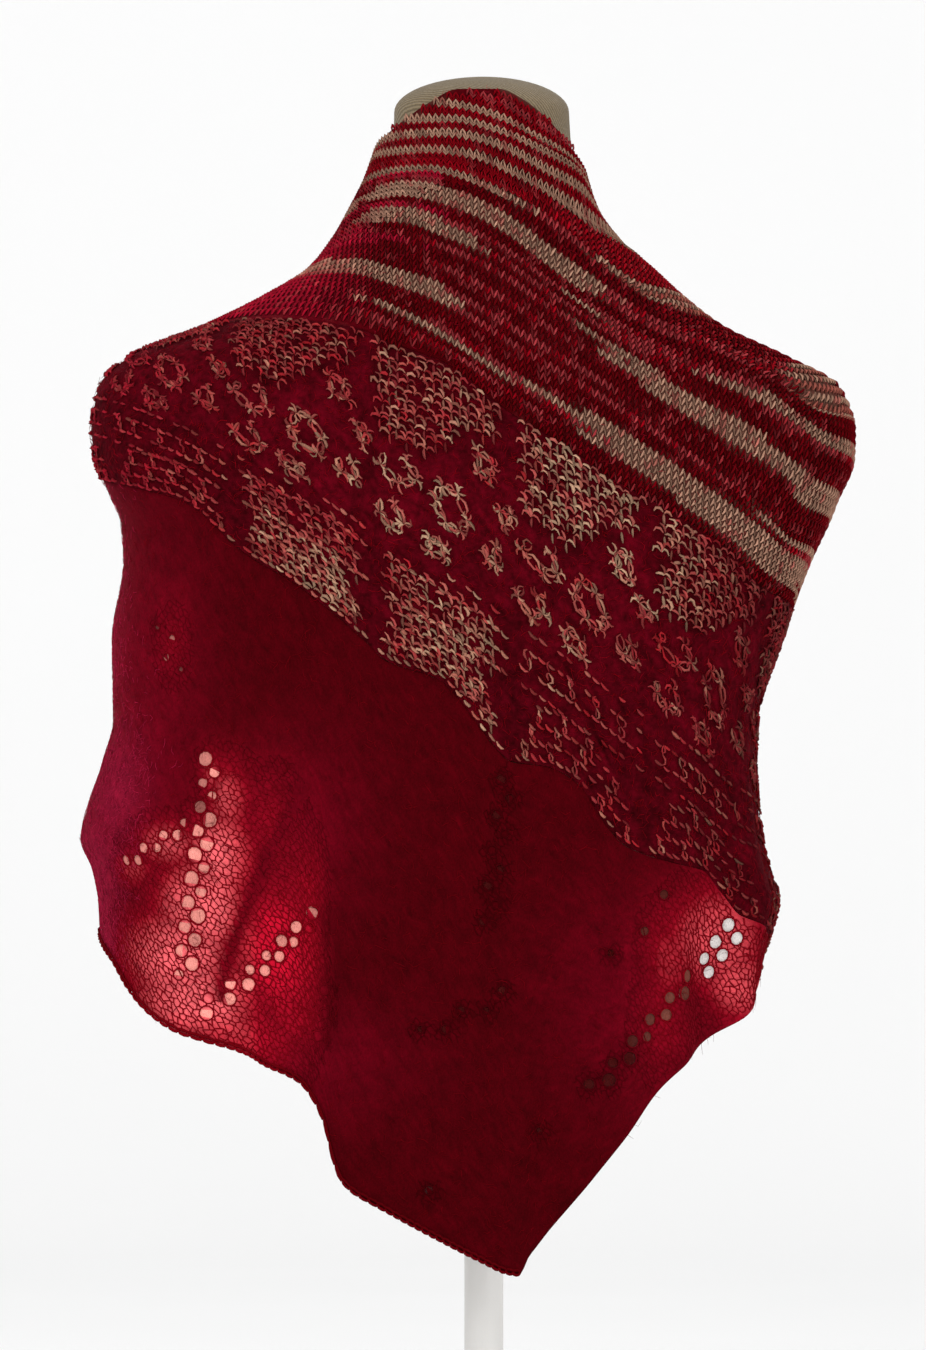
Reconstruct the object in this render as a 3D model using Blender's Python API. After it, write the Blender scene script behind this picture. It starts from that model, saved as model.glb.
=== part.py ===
# Triangle scarf, hand-knitted, worn over the shoulders of a limbless dress form.
# The back of the scarf faces -Y, and the wearer's right is -X. Lengths are metres, and turns are degrees round the
# form's upright axis: 0 is the middle of the back, -90 and 90 are the sides, and the front edges are near -158 and 158.
import math

import bmesh
import bpy
from mathutils import Vector

# Cloth
WALL = 0.002
SEAM_GAP = 0.0003
RIDGE_RISE = 0.0011
BINDOFF_HEIGHT = 0.0042
BINDOFF_THICKNESS = 0.0032
THIN_END = 0.0016
FRONT_EDGE_TURN = 158.0
NET_END_TURN = 97.0
NARROWEST_COLUMN = 3.0

# Stand and dress form
AXIS_X = 0.0092
FORM_CLEARANCE = 0.0018
FORM_CHEST = 0.600
FORM_BOTTOM = 0.236
NECK_CAP_TOP = 0.7914
NECK_CAP_RISE = 0.020
END_CAP_BOTTOM = 0.150
POLE_RADIUS = 0.011
BASE_RADIUS = 0.150
BASE_THICKNESS = 0.010
HUB_RADIUS = 0.026
HUB_HEIGHT = 0.026

# How finely the surfaces are divided
COLLAR_ROWS = 10
STRIPES_ROWS = 13
MOSAIC_ROWS = 7
MOHAIR_ROWS = 10
LEFT_COLUMNS = 33
RIGHT_COLUMNS = 26
FORM_COLUMNS = 40
FORM_SHOULDER_ROWS = 18
FORM_TORSO_ROWS = 7
ROUND_SIDES = 24
EYELET_SIDES = 6

# Level sections of the cloth's outside, as distances from the upright axis
# height, left, right, back, front, squareness
CLOTH_SECTIONS = (
    (0.8000, 0.0560, 0.0505, 0.0500, 0.0540, 2.0),
    (0.7650, 0.0578, 0.0522, 0.0520, 0.0565, 2.0),
    (0.7510, 0.0604, 0.0532, 0.0540, 0.0590, 2.0),
    (0.7343, 0.0660, 0.0572, 0.0590, 0.0640, 2.0),
    (0.7175, 0.0744, 0.0628, 0.0650, 0.0700, 2.0),
    (0.7007, 0.0840, 0.0745, 0.0720, 0.0770, 2.0),
    (0.6839, 0.0974, 0.0941, 0.0795, 0.0840, 2.0),
    (0.6671, 0.1243, 0.1126, 0.0860, 0.0910, 2.05),
    (0.6503, 0.1590, 0.1350, 0.0925, 0.0980, 2.1),
    (0.6335, 0.2004, 0.1703, 0.0975, 0.1050, 2.15),
    (0.6167, 0.2172, 0.2000, 0.1020, 0.1110, 2.2),
    (0.5915, 0.2212, 0.2084, 0.1070, 0.1190, 2.3),
    (0.5747, 0.2189, 0.2078, 0.1090, 0.1230, 2.35),
    (0.5523, 0.2094, 0.1988, 0.1105, 0.1275, 2.4),
    (0.5411, 0.2049, 0.1944, 0.1110, 0.1290, 2.4),
    (0.5187, 0.2032, 0.1837, 0.1110, 0.1310, 2.45),
    (0.4739, 0.2094, 0.1675, 0.1100, 0.1310, 2.5),
    (0.4291, 0.2088, 0.1540, 0.1085, 0.1270, 2.5),
    (0.4067, 0.2144, 0.1529, 0.1075, 0.1250, 2.5),
    (0.3619, 0.2268, 0.1568, 0.1060, 0.1210, 2.5),
    (0.3451, 0.2206, 0.1608, 0.1055, 0.1195, 2.5),
    (0.3283, 0.2172, 0.1658, 0.1045, 0.1180, 2.5),
    (0.3087, 0.2161, 0.1613, 0.1040, 0.1165, 2.5),
    (0.2863, 0.2150, 0.1563, 0.1030, 0.1150, 2.5),
    (0.1100, 0.2090, 0.1500, 0.0970, 0.1080, 2.5),
)

# Level sections of the bare dress form
# height, left, right, back, front, squareness
FORM_SECTIONS = (
    (0.8000, 0.0500, 0.0500, 0.0490, 0.0530, 2.0),
    (0.7350, 0.0515, 0.0515, 0.0540, 0.0580, 2.0),
    (0.7000, 0.0700, 0.0700, 0.0700, 0.0740, 2.0),
    (0.6500, 0.1560, 0.1560, 0.0900, 0.0950, 2.1),
    (0.6167, 0.1890, 0.1890, 0.0990, 0.1080, 2.2),
    (0.5900, 0.1860, 0.1860, 0.1045, 0.1160, 2.2),
    (0.5500, 0.1700, 0.1700, 0.1080, 0.1250, 2.2),
    (0.5100, 0.1590, 0.1590, 0.1060, 0.1285, 2.2),
    (0.4600, 0.1450, 0.1450, 0.0960, 0.1200, 2.2),
    (0.4100, 0.1230, 0.1230, 0.0840, 0.1020, 2.2),
    (0.3700, 0.1050, 0.1050, 0.0740, 0.0880, 2.2),
    (0.3283, 0.0880, 0.0880, 0.0680, 0.0790, 2.2),
    (0.2900, 0.0830, 0.0830, 0.0670, 0.0770, 2.2),
    (0.2360, 0.0840, 0.0840, 0.0700, 0.0790, 2.2),
)

# How far round the front the cloth still reaches at each height, as a share of its reach at the neck
# height, share
FRONT_REACH = (
    (0.2700, 0.80),
    (0.4000, 0.84),
    (0.5200, 0.90),
    (0.6300, 0.97),
    (0.7000, 1.00),
)

# Soft troughs (negative depth) and swells of the hanging cloth
# turn at the top, top, bottom, half-width in degrees, depth, lean in degrees per metre of drop
FOLDS = (
    (-45.0, 0.400, 0.215, 9.0, -0.0085, -95.0),
    (-31.0, 0.380, 0.190, 9.0, 0.0060, -30.0),
    (-66.0, 0.460, 0.250, 10.0, 0.0050, -20.0),
    (14.0, 0.460, 0.140, 13.0, -0.0065, 20.0),
    (33.0, 0.420, 0.170, 12.0, 0.0050, 25.0),
    (56.0, 0.430, 0.240, 9.0, -0.0070, 35.0),
    (72.0, 0.520, 0.270, 8.0, 0.0045, 0.0),
    (-104.0, 0.560, 0.260, 9.0, -0.0120, -35.0),
    (-122.0, 0.580, 0.250, 8.0, 0.0100, -25.0),
    (-139.0, 0.600, 0.250, 7.0, -0.0110, -15.0),
    (-151.0, 0.560, 0.250, 6.0, 0.0070, -5.0),
    (106.0, 0.590, 0.260, 10.0, -0.0120, 30.0),
    (126.0, 0.540, 0.250, 8.0, 0.0090, 25.0),
    (143.0, 0.600, 0.250, 7.0, -0.0100, 10.0),
)

# Where each section of the knitting ends. Points on the back are (across, height), and those round
# the front are (turn, height).
NECKLINE_TURNS = (
    (-158.0, 0.7000), (-125.0, 0.7220), (-90.0, 0.7500), (-55.0, 0.7660), (-35.0, 0.7760), (-17.0, 0.7830),
    (10.0, 0.7830), (22.0, 0.7790), (55.0, 0.7595), (85.0, 0.7400), (125.0, 0.7180), (158.0, 0.7000),
)
GARTER_END_TURNS = (
    (-158.0, 0.6700), (-120.0, 0.6740), (-90.0, 0.6850), (-76.0, 0.6920), (-49.0, 0.7130), (-23.0, 0.7290),
    (-3.0, 0.7300), (10.0, 0.7240), (43.0, 0.7190), (66.0, 0.7070), (90.0, 0.6940), (120.0, 0.6550),
    (158.0, 0.6000),
)
STRIPES_END_LEFT_TURNS = ((-158.0, 0.6250), (-120.0, 0.6380), (-90.0, 0.6500))
STRIPES_END_BACK = (
    (-0.1120, 0.6545), (-0.0658, 0.6492), (-0.0395, 0.6386), (-0.0070, 0.6257), (0.0188, 0.6038),
    (0.0580, 0.5798), (0.0792, 0.5646), (0.1140, 0.5456), (0.1442, 0.5260), (0.1660, 0.5040),
)
STRIPES_END_RIGHT_TURNS = ((90.0, 0.4900), (120.0, 0.4450), (158.0, 0.3800))
MOSAIC_END_LEFT_TURNS = ((-158.0, 0.5550), (-120.0, 0.5650), (-90.0, 0.5640))
MOSAIC_END_BACK = (
    (-0.1946, 0.5607), (-0.1610, 0.5523), (-0.1302, 0.5271), (-0.1190, 0.5187), (-0.0994, 0.5075),
    (-0.0770, 0.4907), (-0.0546, 0.4711), (-0.0462, 0.4627), (-0.0154, 0.4515), (-0.0042, 0.4403),
    (0.0171, 0.4123), (0.0244, 0.4062), (0.0445, 0.4034), (0.0630, 0.3927), (0.0753, 0.3731),
    (0.0843, 0.3619), (0.0927, 0.3569), (0.1162, 0.3496), (0.1352, 0.3451), (0.1436, 0.3345),
    (0.1537, 0.3194),
)
MOSAIC_END_RIGHT_TURNS = ((90.0, 0.3040), (100.0, 0.2890))
HEM_LEFT_TURNS = ((-158.0, 0.2700), (-130.0, 0.2920), (-110.0, 0.3060), (-90.0, 0.3087))
HEM_BACK = (
    (-0.2013, 0.2975), (-0.1890, 0.2807), (-0.1554, 0.2527), (-0.1162, 0.2376), (-0.0938, 0.2275),
    (-0.0792, 0.2051), (-0.0714, 0.1827), (-0.0658, 0.1715), (-0.0529, 0.1603), (-0.0339, 0.1491),
    (0.0070, 0.1278), (0.0238, 0.1206), (0.0294, 0.1200), (0.0350, 0.1295), (0.0423, 0.1379),
    (0.0596, 0.1603), (0.0832, 0.1939), (0.1117, 0.2275), (0.1392, 0.2499), (0.1610, 0.2740),
)
HEM_RIGHT_TURNS = ((90.0, 0.2863), (110.0, 0.2850), (130.0, 0.2800), (158.0, 0.2680))
TIP_ACROSS = 0.0294
TIP_HEIGHT = 0.1200

# Lines of eyelets on the back of the mohair point
# across and height of the first, across and height of the last, count, zigzag either way, radius
BACK_EYELET_LINES = (
    (-0.1431, 0.4073, -0.1554, 0.2869, 17, 0.0044, 0.0040),
    (-0.1560, 0.3703, -0.1884, 0.3490, 6, 0.0020, 0.0025),
    (-0.0848, 0.3199, -0.1492, 0.2678, 13, 0.0034, 0.0033),
    (-0.1705, 0.4823, -0.1630, 0.4566, 4, 0.0036, 0.0024),
    (-0.0787, 0.2790, -0.0826, 0.2533, 3, 0.0010, 0.0030),
    (0.0216, 0.3960, 0.0115, 0.3171, 9, 0.0040, 0.0029),
    (0.0204, 0.2762, -0.0249, 0.2544, 5, 0.0030, 0.0029),
    (0.0417, 0.2006, -0.0216, 0.1676, 2, 0.0000, 0.0027),
    (0.1500, 0.3080, 0.0725, 0.2309, 15, 0.0038, 0.0037),
    (0.1117, 0.3300, 0.0804, 0.2975, 3, 0.0030, 0.0026),
)
# The same on the hidden front, by turn and height
# turn and height of the first, turn and height of the last, count, zigzag either way in degrees, radius
FRONT_EYELET_LINES = (
    (-111.0, 0.4700, -118.0, 0.3400, 8, 2.2, 0.0040),
    (-141.0, 0.4500, -136.0, 0.3300, 6, 2.4, 0.0040),
)


def smooth_through(points, place):
    """Value at one place of a smooth curve that never swings past the given (place, value) points."""
    if place <= points[0][0]:
        return points[0][1]
    if place >= points[-1][0]:
        return points[-1][1]
    index = 0
    while points[index + 1][0] < place:
        index += 1

    def slope(i):
        return (points[i + 1][1] - points[i][1]) / (points[i + 1][0] - points[i][0])

    def tangent(i):
        if i == 0:
            return slope(0)
        if i == len(points) - 1:
            return slope(i - 1)
        before = slope(i - 1)
        after = slope(i)
        if before * after <= 0.0:
            return 0.0
        return 2.0 * before * after / (before + after)

    span = points[index + 1][0] - points[index][0]
    t = (place - points[index][0]) / span
    start_tangent = tangent(index) * span
    end_tangent = tangent(index + 1) * span
    start = points[index][1]
    end = points[index + 1][1]
    return (
        start * (2 * t ** 3 - 3 * t ** 2 + 1)
        + start_tangent * (t ** 3 - 2 * t ** 2 + t)
        + end * (3 * t ** 2 - 2 * t ** 3)
        + end_tangent * (t ** 3 - t ** 2)
    )


def columns_of(sections):
    """One rising (height, value) list for each column of a section table."""
    rising = sorted(sections)
    return [[(row[0], row[c]) for row in rising] for c in range(1, len(rising[0]))]


CLOTH_COLUMNS = columns_of(CLOTH_SECTIONS)
FORM_TABLE = columns_of(FORM_SECTIONS)


def section_radius(table, turn, height):
    """Distance from the axis to a level section's outline, at one turn."""
    left, right, back, front, squareness = (smooth_through(column, height) for column in table)
    angle = math.radians(turn)
    sideways = abs(math.sin(angle)) / (right if turn > 0.0 else left)
    lengthways = abs(math.cos(angle)) / (back if abs(turn) < 90.0 else front)
    return (sideways ** squareness + lengthways ** squareness) ** (-1.0 / squareness)


def fold_depth(turn, height):
    """How far the folds move the cloth out from the axis."""
    depth = 0.0
    for fold_turn, top, bottom, half_width, fold, lean in FOLDS:
        if not bottom - 0.15 < height < top:
            continue
        drop = top - height
        aside = (turn - fold_turn - lean * drop) / half_width
        if abs(aside) >= 1.0:
            continue
        strength = min(1.0, drop / (0.75 * (top - bottom)))
        depth += fold * math.cos(aside * math.pi / 2) ** 2 * strength ** 1.5
    return depth


def on_axis(radius, turn, height):
    """The point at a distance from the axis, a turn and a height."""
    angle = math.radians(turn)
    return Vector((AXIS_X + radius * math.sin(angle), -radius * math.cos(angle), height))


def true_turn(turn, height):
    """The real turn of an upright line of cloth, which swings back from the middle of the front as it falls."""
    past_side = abs(turn) - 90.0
    if past_side <= 0.0:
        return turn
    return math.copysign(90.0 + past_side * smooth_through(FRONT_REACH, height), turn)


def cloth_outside(turn, height):
    """A point on the outside of the cloth."""
    real = true_turn(turn, height)
    return on_axis(section_radius(CLOTH_COLUMNS, real, height) + fold_depth(turn, height), real, height)


def cloth_normal(turn, height):
    """The direction out of the cloth at a point."""
    step_turn = 0.25
    step_height = 0.0008
    along = cloth_outside(turn + step_turn, height) - cloth_outside(turn - step_turn, height)
    up = cloth_outside(turn, height + step_height) - cloth_outside(turn, height - step_height)
    return along.cross(up).normalized()


def cloth_point(turn, height, lift):
    """A point that lies a little off the outside of the cloth."""
    return cloth_outside(turn, height) + lift * cloth_normal(turn, height)


def turn_of(across, height):
    """The turn at which the back of the cloth passes a place across it."""
    low = -90.0
    high = 90.0
    for _ in range(40):
        middle = (low + high) / 2
        radius = section_radius(CLOTH_COLUMNS, middle, height)
        if AXIS_X + radius * math.sin(math.radians(middle)) < across:
            low = middle
        else:
            high = middle
    return (low + high) / 2


def contour(left_turns, back_points, right_turns):
    """One (turn, height) list from the hidden and the visible stretches of a line on the cloth."""
    back = [(turn_of(across, height), height) for across, height in back_points]
    return list(left_turns) + back + list(right_turns)


NECKLINE = list(NECKLINE_TURNS)
GARTER_END = list(GARTER_END_TURNS)
STRIPES_END = contour(STRIPES_END_LEFT_TURNS, STRIPES_END_BACK, STRIPES_END_RIGHT_TURNS)
MOSAIC_END = contour(MOSAIC_END_LEFT_TURNS, MOSAIC_END_BACK, MOSAIC_END_RIGHT_TURNS)
HEM = contour(HEM_LEFT_TURNS, HEM_BACK, HEM_RIGHT_TURNS)
TIP_TURN = turn_of(TIP_ACROSS, TIP_HEIGHT)


def even_turns(start, end, count):
    """Turns that part the chest section between two turns into equal lengths."""
    steps = 400
    chest = 0.50
    turns = [start + (end - start) * i / steps for i in range(steps + 1)]
    lengths = [0.0]
    for before, after in zip(turns, turns[1:]):
        chord = on_axis(section_radius(CLOTH_COLUMNS, after, chest), after, chest) - on_axis(
            section_radius(CLOTH_COLUMNS, before, chest), before, chest
        )
        lengths.append(lengths[-1] + chord.length)
    result = []
    j = 0
    for i in range(count + 1):
        wanted = lengths[-1] * i / count
        while j < steps - 1 and lengths[j + 1] < wanted:
            j += 1
        part = (wanted - lengths[j]) / (lengths[j + 1] - lengths[j])
        result.append(turns[j] + part * (turns[j + 1] - turns[j]))
    return result


def heights_down(turn, top, bottom, rows):
    """Heights that part one upright line of cloth into equal lengths."""
    steps = 60
    heights = [top + (bottom - top) * i / steps for i in range(steps + 1)]
    lengths = [0.0]
    for before, after in zip(heights, heights[1:]):
        chord = cloth_outside(turn, after) - cloth_outside(turn, before)
        lengths.append(lengths[-1] + chord.length)
    result = []
    j = 0
    for i in range(rows + 1):
        wanted = lengths[-1] * i / rows
        while j < steps - 1 and lengths[j + 1] < wanted:
            j += 1
        part = (wanted - lengths[j]) / (lengths[j + 1] - lengths[j])
        result.append(heights[j] + part * (heights[j + 1] - heights[j]))
    return result


def material(name, colour, roughness, metallic):
    """A plain finish."""
    made = bpy.data.materials.new(name)
    made.use_nodes = True
    shader = made.node_tree.nodes["Principled BSDF"]
    shader.inputs["Base Color"].default_value = (*colour, 1.0)
    shader.inputs["Roughness"].default_value = roughness
    shader.inputs["Metallic"].default_value = metallic
    return made


def add_object(name, mesh_builder, finish):
    """An object whose mesh is filled by a function."""
    mesh = bpy.data.meshes.new(name)
    built = bmesh.new()
    mesh_builder(built)
    built.normal_update()
    built.to_mesh(mesh)
    built.free()
    mesh.materials.append(finish)
    made = bpy.data.objects.new(name, mesh)
    bpy.context.collection.objects.link(made)
    return made


def fill_wall(built, outside, inside):
    """A closed wall between two grids of points, each a list of columns from the top down."""
    outer = [[built.verts.new(p) for p in column] for column in outside]
    inner = [[built.verts.new(p) for p in column] for column in inside]
    last_column = len(outer) - 1
    last_row = len(outer[0]) - 1
    for i in range(last_column):
        for j in range(last_row):
            built.faces.new((outer[i][j], outer[i][j + 1], outer[i + 1][j + 1], outer[i + 1][j]))
            built.faces.new((inner[i][j], inner[i + 1][j], inner[i + 1][j + 1], inner[i][j + 1]))
        built.faces.new((outer[i][0], outer[i + 1][0], inner[i + 1][0], inner[i][0]))
        built.faces.new((outer[i][last_row], inner[i][last_row], inner[i + 1][last_row], outer[i + 1][last_row]))
    for j in range(last_row):
        built.faces.new((outer[0][j], inner[0][j], inner[0][j + 1], outer[0][j + 1]))
        built.faces.new(
            (outer[last_column][j], outer[last_column][j + 1], inner[last_column][j + 1], inner[last_column][j])
        )


def knitted_section(name, turns, top_line, bottom_line, rows, finish, rise=0.0):
    """A stretch of cloth between two lines, with every other row raised by the rise."""

    def build(built):
        outside = []
        inside = []
        for turn in turns:
            heights = heights_down(turn, top_line(turn), bottom_line(turn), rows)
            lifts = [rise if row % 2 else 0.0 for row in range(rows + 1)]
            outside.append([cloth_point(turn, h, lift) for h, lift in zip(heights, lifts)])
            inside.append([cloth_point(turn, h, -WALL) for h in heights])
        fill_wall(built, outside, inside)

    return add_object(name, build, finish)


def below(line, gap):
    """A line that runs a gap below another."""
    return lambda turn: smooth_through(line, turn) - gap


def mosaic_bottom(turn):
    """Lower edge of the mosaic section: the mohair's top, and past its end the hem itself."""
    hem = smooth_through(HEM, turn)
    if turn > NET_END_TURN + 0.01:
        return hem
    return max(smooth_through(MOSAIC_END, turn), hem + THIN_END + SEAM_GAP)


def mohair_top(turn):
    """Upper edge of the mohair, a seam's gap under the mosaic section."""
    return mosaic_bottom(turn) - SEAM_GAP


def mohair_left_bottom(turn):
    """Lower edge of the mohair where the bound-off edge is worked on."""
    return smooth_through(HEM, turn) + BINDOFF_HEIGHT + SEAM_GAP


def bindoff_edge(turns, finish):
    """The thicker bound-off edge, along the hem of the left half."""

    def build(built):
        outside = []
        inside = []
        extra = (BINDOFF_THICKNESS - WALL) / 2
        for turn in turns:
            bottom = smooth_through(HEM, turn)
            heights = (bottom + BINDOFF_HEIGHT, bottom + BINDOFF_HEIGHT / 2, bottom)
            outside.append([cloth_point(turn, h, lift) for h, lift in zip(heights, (0.0, extra, 0.0))])
            inside.append([cloth_point(turn, h, -WALL - lift) for h, lift in zip(heights, (0.0, extra, 0.0))])
        fill_wall(built, outside, inside)

    return add_object("bindoff_edge", build, finish)


def eyelet_places():
    """Turn, height and radius of every eyelet."""
    places = []
    for across_1, height_1, across_2, height_2, count, zigzag, radius in BACK_EYELET_LINES:
        sideways = height_1 - height_2
        upwards = across_2 - across_1
        length = math.hypot(sideways, upwards)
        for i in range(count):
            part = i / max(1, count - 1)
            side = (zigzag if i % 2 else -zigzag) / length
            height = height_1 + part * (height_2 - height_1) + side * upwards
            across = across_1 + part * (across_2 - across_1) + side * sideways
            places.append((turn_of(across, height), height, radius))
    for turn_1, height_1, turn_2, height_2, count, zigzag, radius in FRONT_EYELET_LINES:
        for i in range(count):
            part = i / (count - 1)
            side = zigzag if i % 2 else -zigzag
            places.append((turn_1 + part * (turn_2 - turn_1) + side, height_1 + part * (height_2 - height_1), radius))
    return places


def eyelet_cutters(name, places, finish):
    """Short prisms through the wall, one for each eyelet."""

    def build(built):
        for turn, height, radius in places:
            centre = cloth_outside(turn, height)
            outward = cloth_normal(turn, height)
            along = outward.cross(Vector((0.0, 0.0, 1.0))).normalized()
            upward = along.cross(outward)
            rings = []
            for depth in (0.004, -0.006):
                ring = []
                for i in range(EYELET_SIDES):
                    angle = math.radians(360.0 * (i + 0.5) / EYELET_SIDES)
                    spoke = along * math.cos(angle) + upward * math.sin(angle) * 1.1
                    ring.append(built.verts.new(centre + outward * depth + spoke * radius))
                rings.append(ring)
            front, back = rings
            built.faces.new(front)
            built.faces.new(list(reversed(back)))
            for i in range(EYELET_SIDES):
                k = (i + 1) % EYELET_SIDES
                built.faces.new((front[i], back[i], back[k], front[k]))
        bmesh.ops.recalc_face_normals(built, faces=built.faces)

    made = add_object(name, build, finish)
    made.hide_render = True
    made.display_type = "WIRE"
    return made


def cut(target, cutter):
    """Takes the cutter's shape out of an object."""
    change = target.modifiers.new("eyelets", "BOOLEAN")
    change.operation = "DIFFERENCE"
    change.solver = "EXACT"
    change.object = cutter


def form_radius(turn, height):
    """Distance from the axis to the dress form, which never comes nearer the cloth than its clearance."""
    bare = section_radius(FORM_TABLE, turn, height)
    normal = cloth_normal(turn, height)
    outward = Vector((math.sin(math.radians(turn)), -math.cos(math.radians(turn)), 0.0))
    inset = WALL + FORM_CLEARANCE
    lower = height + inset * normal.z
    under_cloth = section_radius(CLOTH_COLUMNS, turn, lower) + min(0.0, fold_depth(turn, lower))
    under_cloth -= inset * normal.dot(outward)
    softness = 0.0006
    nearer = min(bare, under_cloth)
    blend = math.exp(-(bare - nearer) / softness) + math.exp(-(under_cloth - nearer) / softness)
    return nearer - softness * math.log(blend)


def dress_form(finish):
    """Neck cap, shoulders and torso, down to a flat end behind the scarf."""

    def build(built):
        shoulder_of_cap = NECK_CAP_TOP - NECK_CAP_RISE
        heights = []
        for i in range(1, 6):
            heights.append(shoulder_of_cap + NECK_CAP_RISE * math.cos(math.radians(90.0 * i / 6)))
        heights += heights_down(-90.0, shoulder_of_cap, FORM_CHEST, FORM_SHOULDER_ROWS)
        for i in range(1, FORM_TORSO_ROWS + 1):
            heights.append(FORM_CHEST + (FORM_BOTTOM - FORM_CHEST) * (i / FORM_TORSO_ROWS))
        rings = []
        for height in heights:
            ring = []
            for i in range(FORM_COLUMNS):
                turn = -180.0 + 360.0 * i / FORM_COLUMNS
                radius = form_radius(turn, min(height, shoulder_of_cap))
                if height > shoulder_of_cap:
                    rise = (height - shoulder_of_cap) / NECK_CAP_RISE
                    radius *= math.sqrt(1.0 - rise ** 2)
                ring.append(built.verts.new(on_axis(radius, turn, height)))
            rings.append(ring)
        apex = built.verts.new((AXIS_X, 0.0, NECK_CAP_TOP))
        for i in range(FORM_COLUMNS):
            k = (i + 1) % FORM_COLUMNS
            built.faces.new((apex, rings[0][i], rings[0][k]))
            for upper, lower in zip(rings, rings[1:]):
                built.faces.new((upper[i], lower[i], lower[k], upper[k]))
        built.faces.new(list(reversed(rings[-1])))

    return add_object("dress_form", build, finish)


def end_cap(finish):
    """The turned cap that closes the torso and narrows to the pole."""

    def build(built):
        top = FORM_BOTTOM - SEAM_GAP
        rings = []
        for height_part, size in ((0.0, 0.985), (0.10, 1.0), (0.40, 0.81), (0.74, 0.43)):
            height = top + height_part * (END_CAP_BOTTOM - top)
            ring = []
            for i in range(FORM_COLUMNS):
                turn = -180.0 + 360.0 * i / FORM_COLUMNS
                ring.append(built.verts.new(on_axis(section_radius(FORM_TABLE, turn, top) * size, turn, height)))
            rings.append(ring)
        for height_part, radius in ((0.9, 0.022), (0.93, 0.019), (1.0, 0.017)):
            height = top + height_part * (END_CAP_BOTTOM - top)
            ring = []
            for i in range(FORM_COLUMNS):
                ring.append(built.verts.new(on_axis(radius, -180.0 + 360.0 * i / FORM_COLUMNS, height)))
            rings.append(ring)
        built.faces.new(rings[0])
        for upper, lower in zip(rings, rings[1:]):
            for i in range(FORM_COLUMNS):
                k = (i + 1) % FORM_COLUMNS
                built.faces.new((upper[i], lower[i], lower[k], upper[k]))
        built.faces.new(list(reversed(rings[-1])))

    return add_object("form_end_cap", build, finish)


def turned(name, profile, finish):
    """A round solid about the stand's axis, from (radius, height) pairs that run from the top down."""

    def build(built):
        rings = []
        for radius, height in profile:
            ring = []
            for i in range(ROUND_SIDES):
                ring.append(built.verts.new(on_axis(radius, -180.0 + 360.0 * i / ROUND_SIDES, height)))
            rings.append(ring)
        built.faces.new(rings[0])
        for upper, lower in zip(rings, rings[1:]):
            for i in range(ROUND_SIDES):
                k = (i + 1) % ROUND_SIDES
                built.faces.new((upper[i], lower[i], lower[k], upper[k]))
        built.faces.new(list(reversed(rings[-1])))

    return add_object(name, build, finish)


def stand(pole_finish, base_finish):
    """The pole and its round base plate with a hub."""
    pole_top = END_CAP_BOTTOM - SEAM_GAP
    pole_bottom = HUB_HEIGHT + SEAM_GAP
    turned("stand_pole", ((POLE_RADIUS, pole_top), (POLE_RADIUS, pole_bottom)), pole_finish)
    rim = 0.0025
    turned(
        "stand_base",
        (
            (HUB_RADIUS - 0.008, HUB_HEIGHT),
            (HUB_RADIUS - 0.004, HUB_HEIGHT - 0.002),
            (HUB_RADIUS, BASE_THICKNESS + 0.002),
            (HUB_RADIUS + 0.003, BASE_THICKNESS),
            (BASE_RADIUS - rim, BASE_THICKNESS - 0.001),
            (BASE_RADIUS, BASE_THICKNESS - 0.001 - rim),
            (BASE_RADIUS, rim / 2),
            (BASE_RADIUS - rim / 2, 0.0),
        ),
        base_finish,
    )


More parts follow.
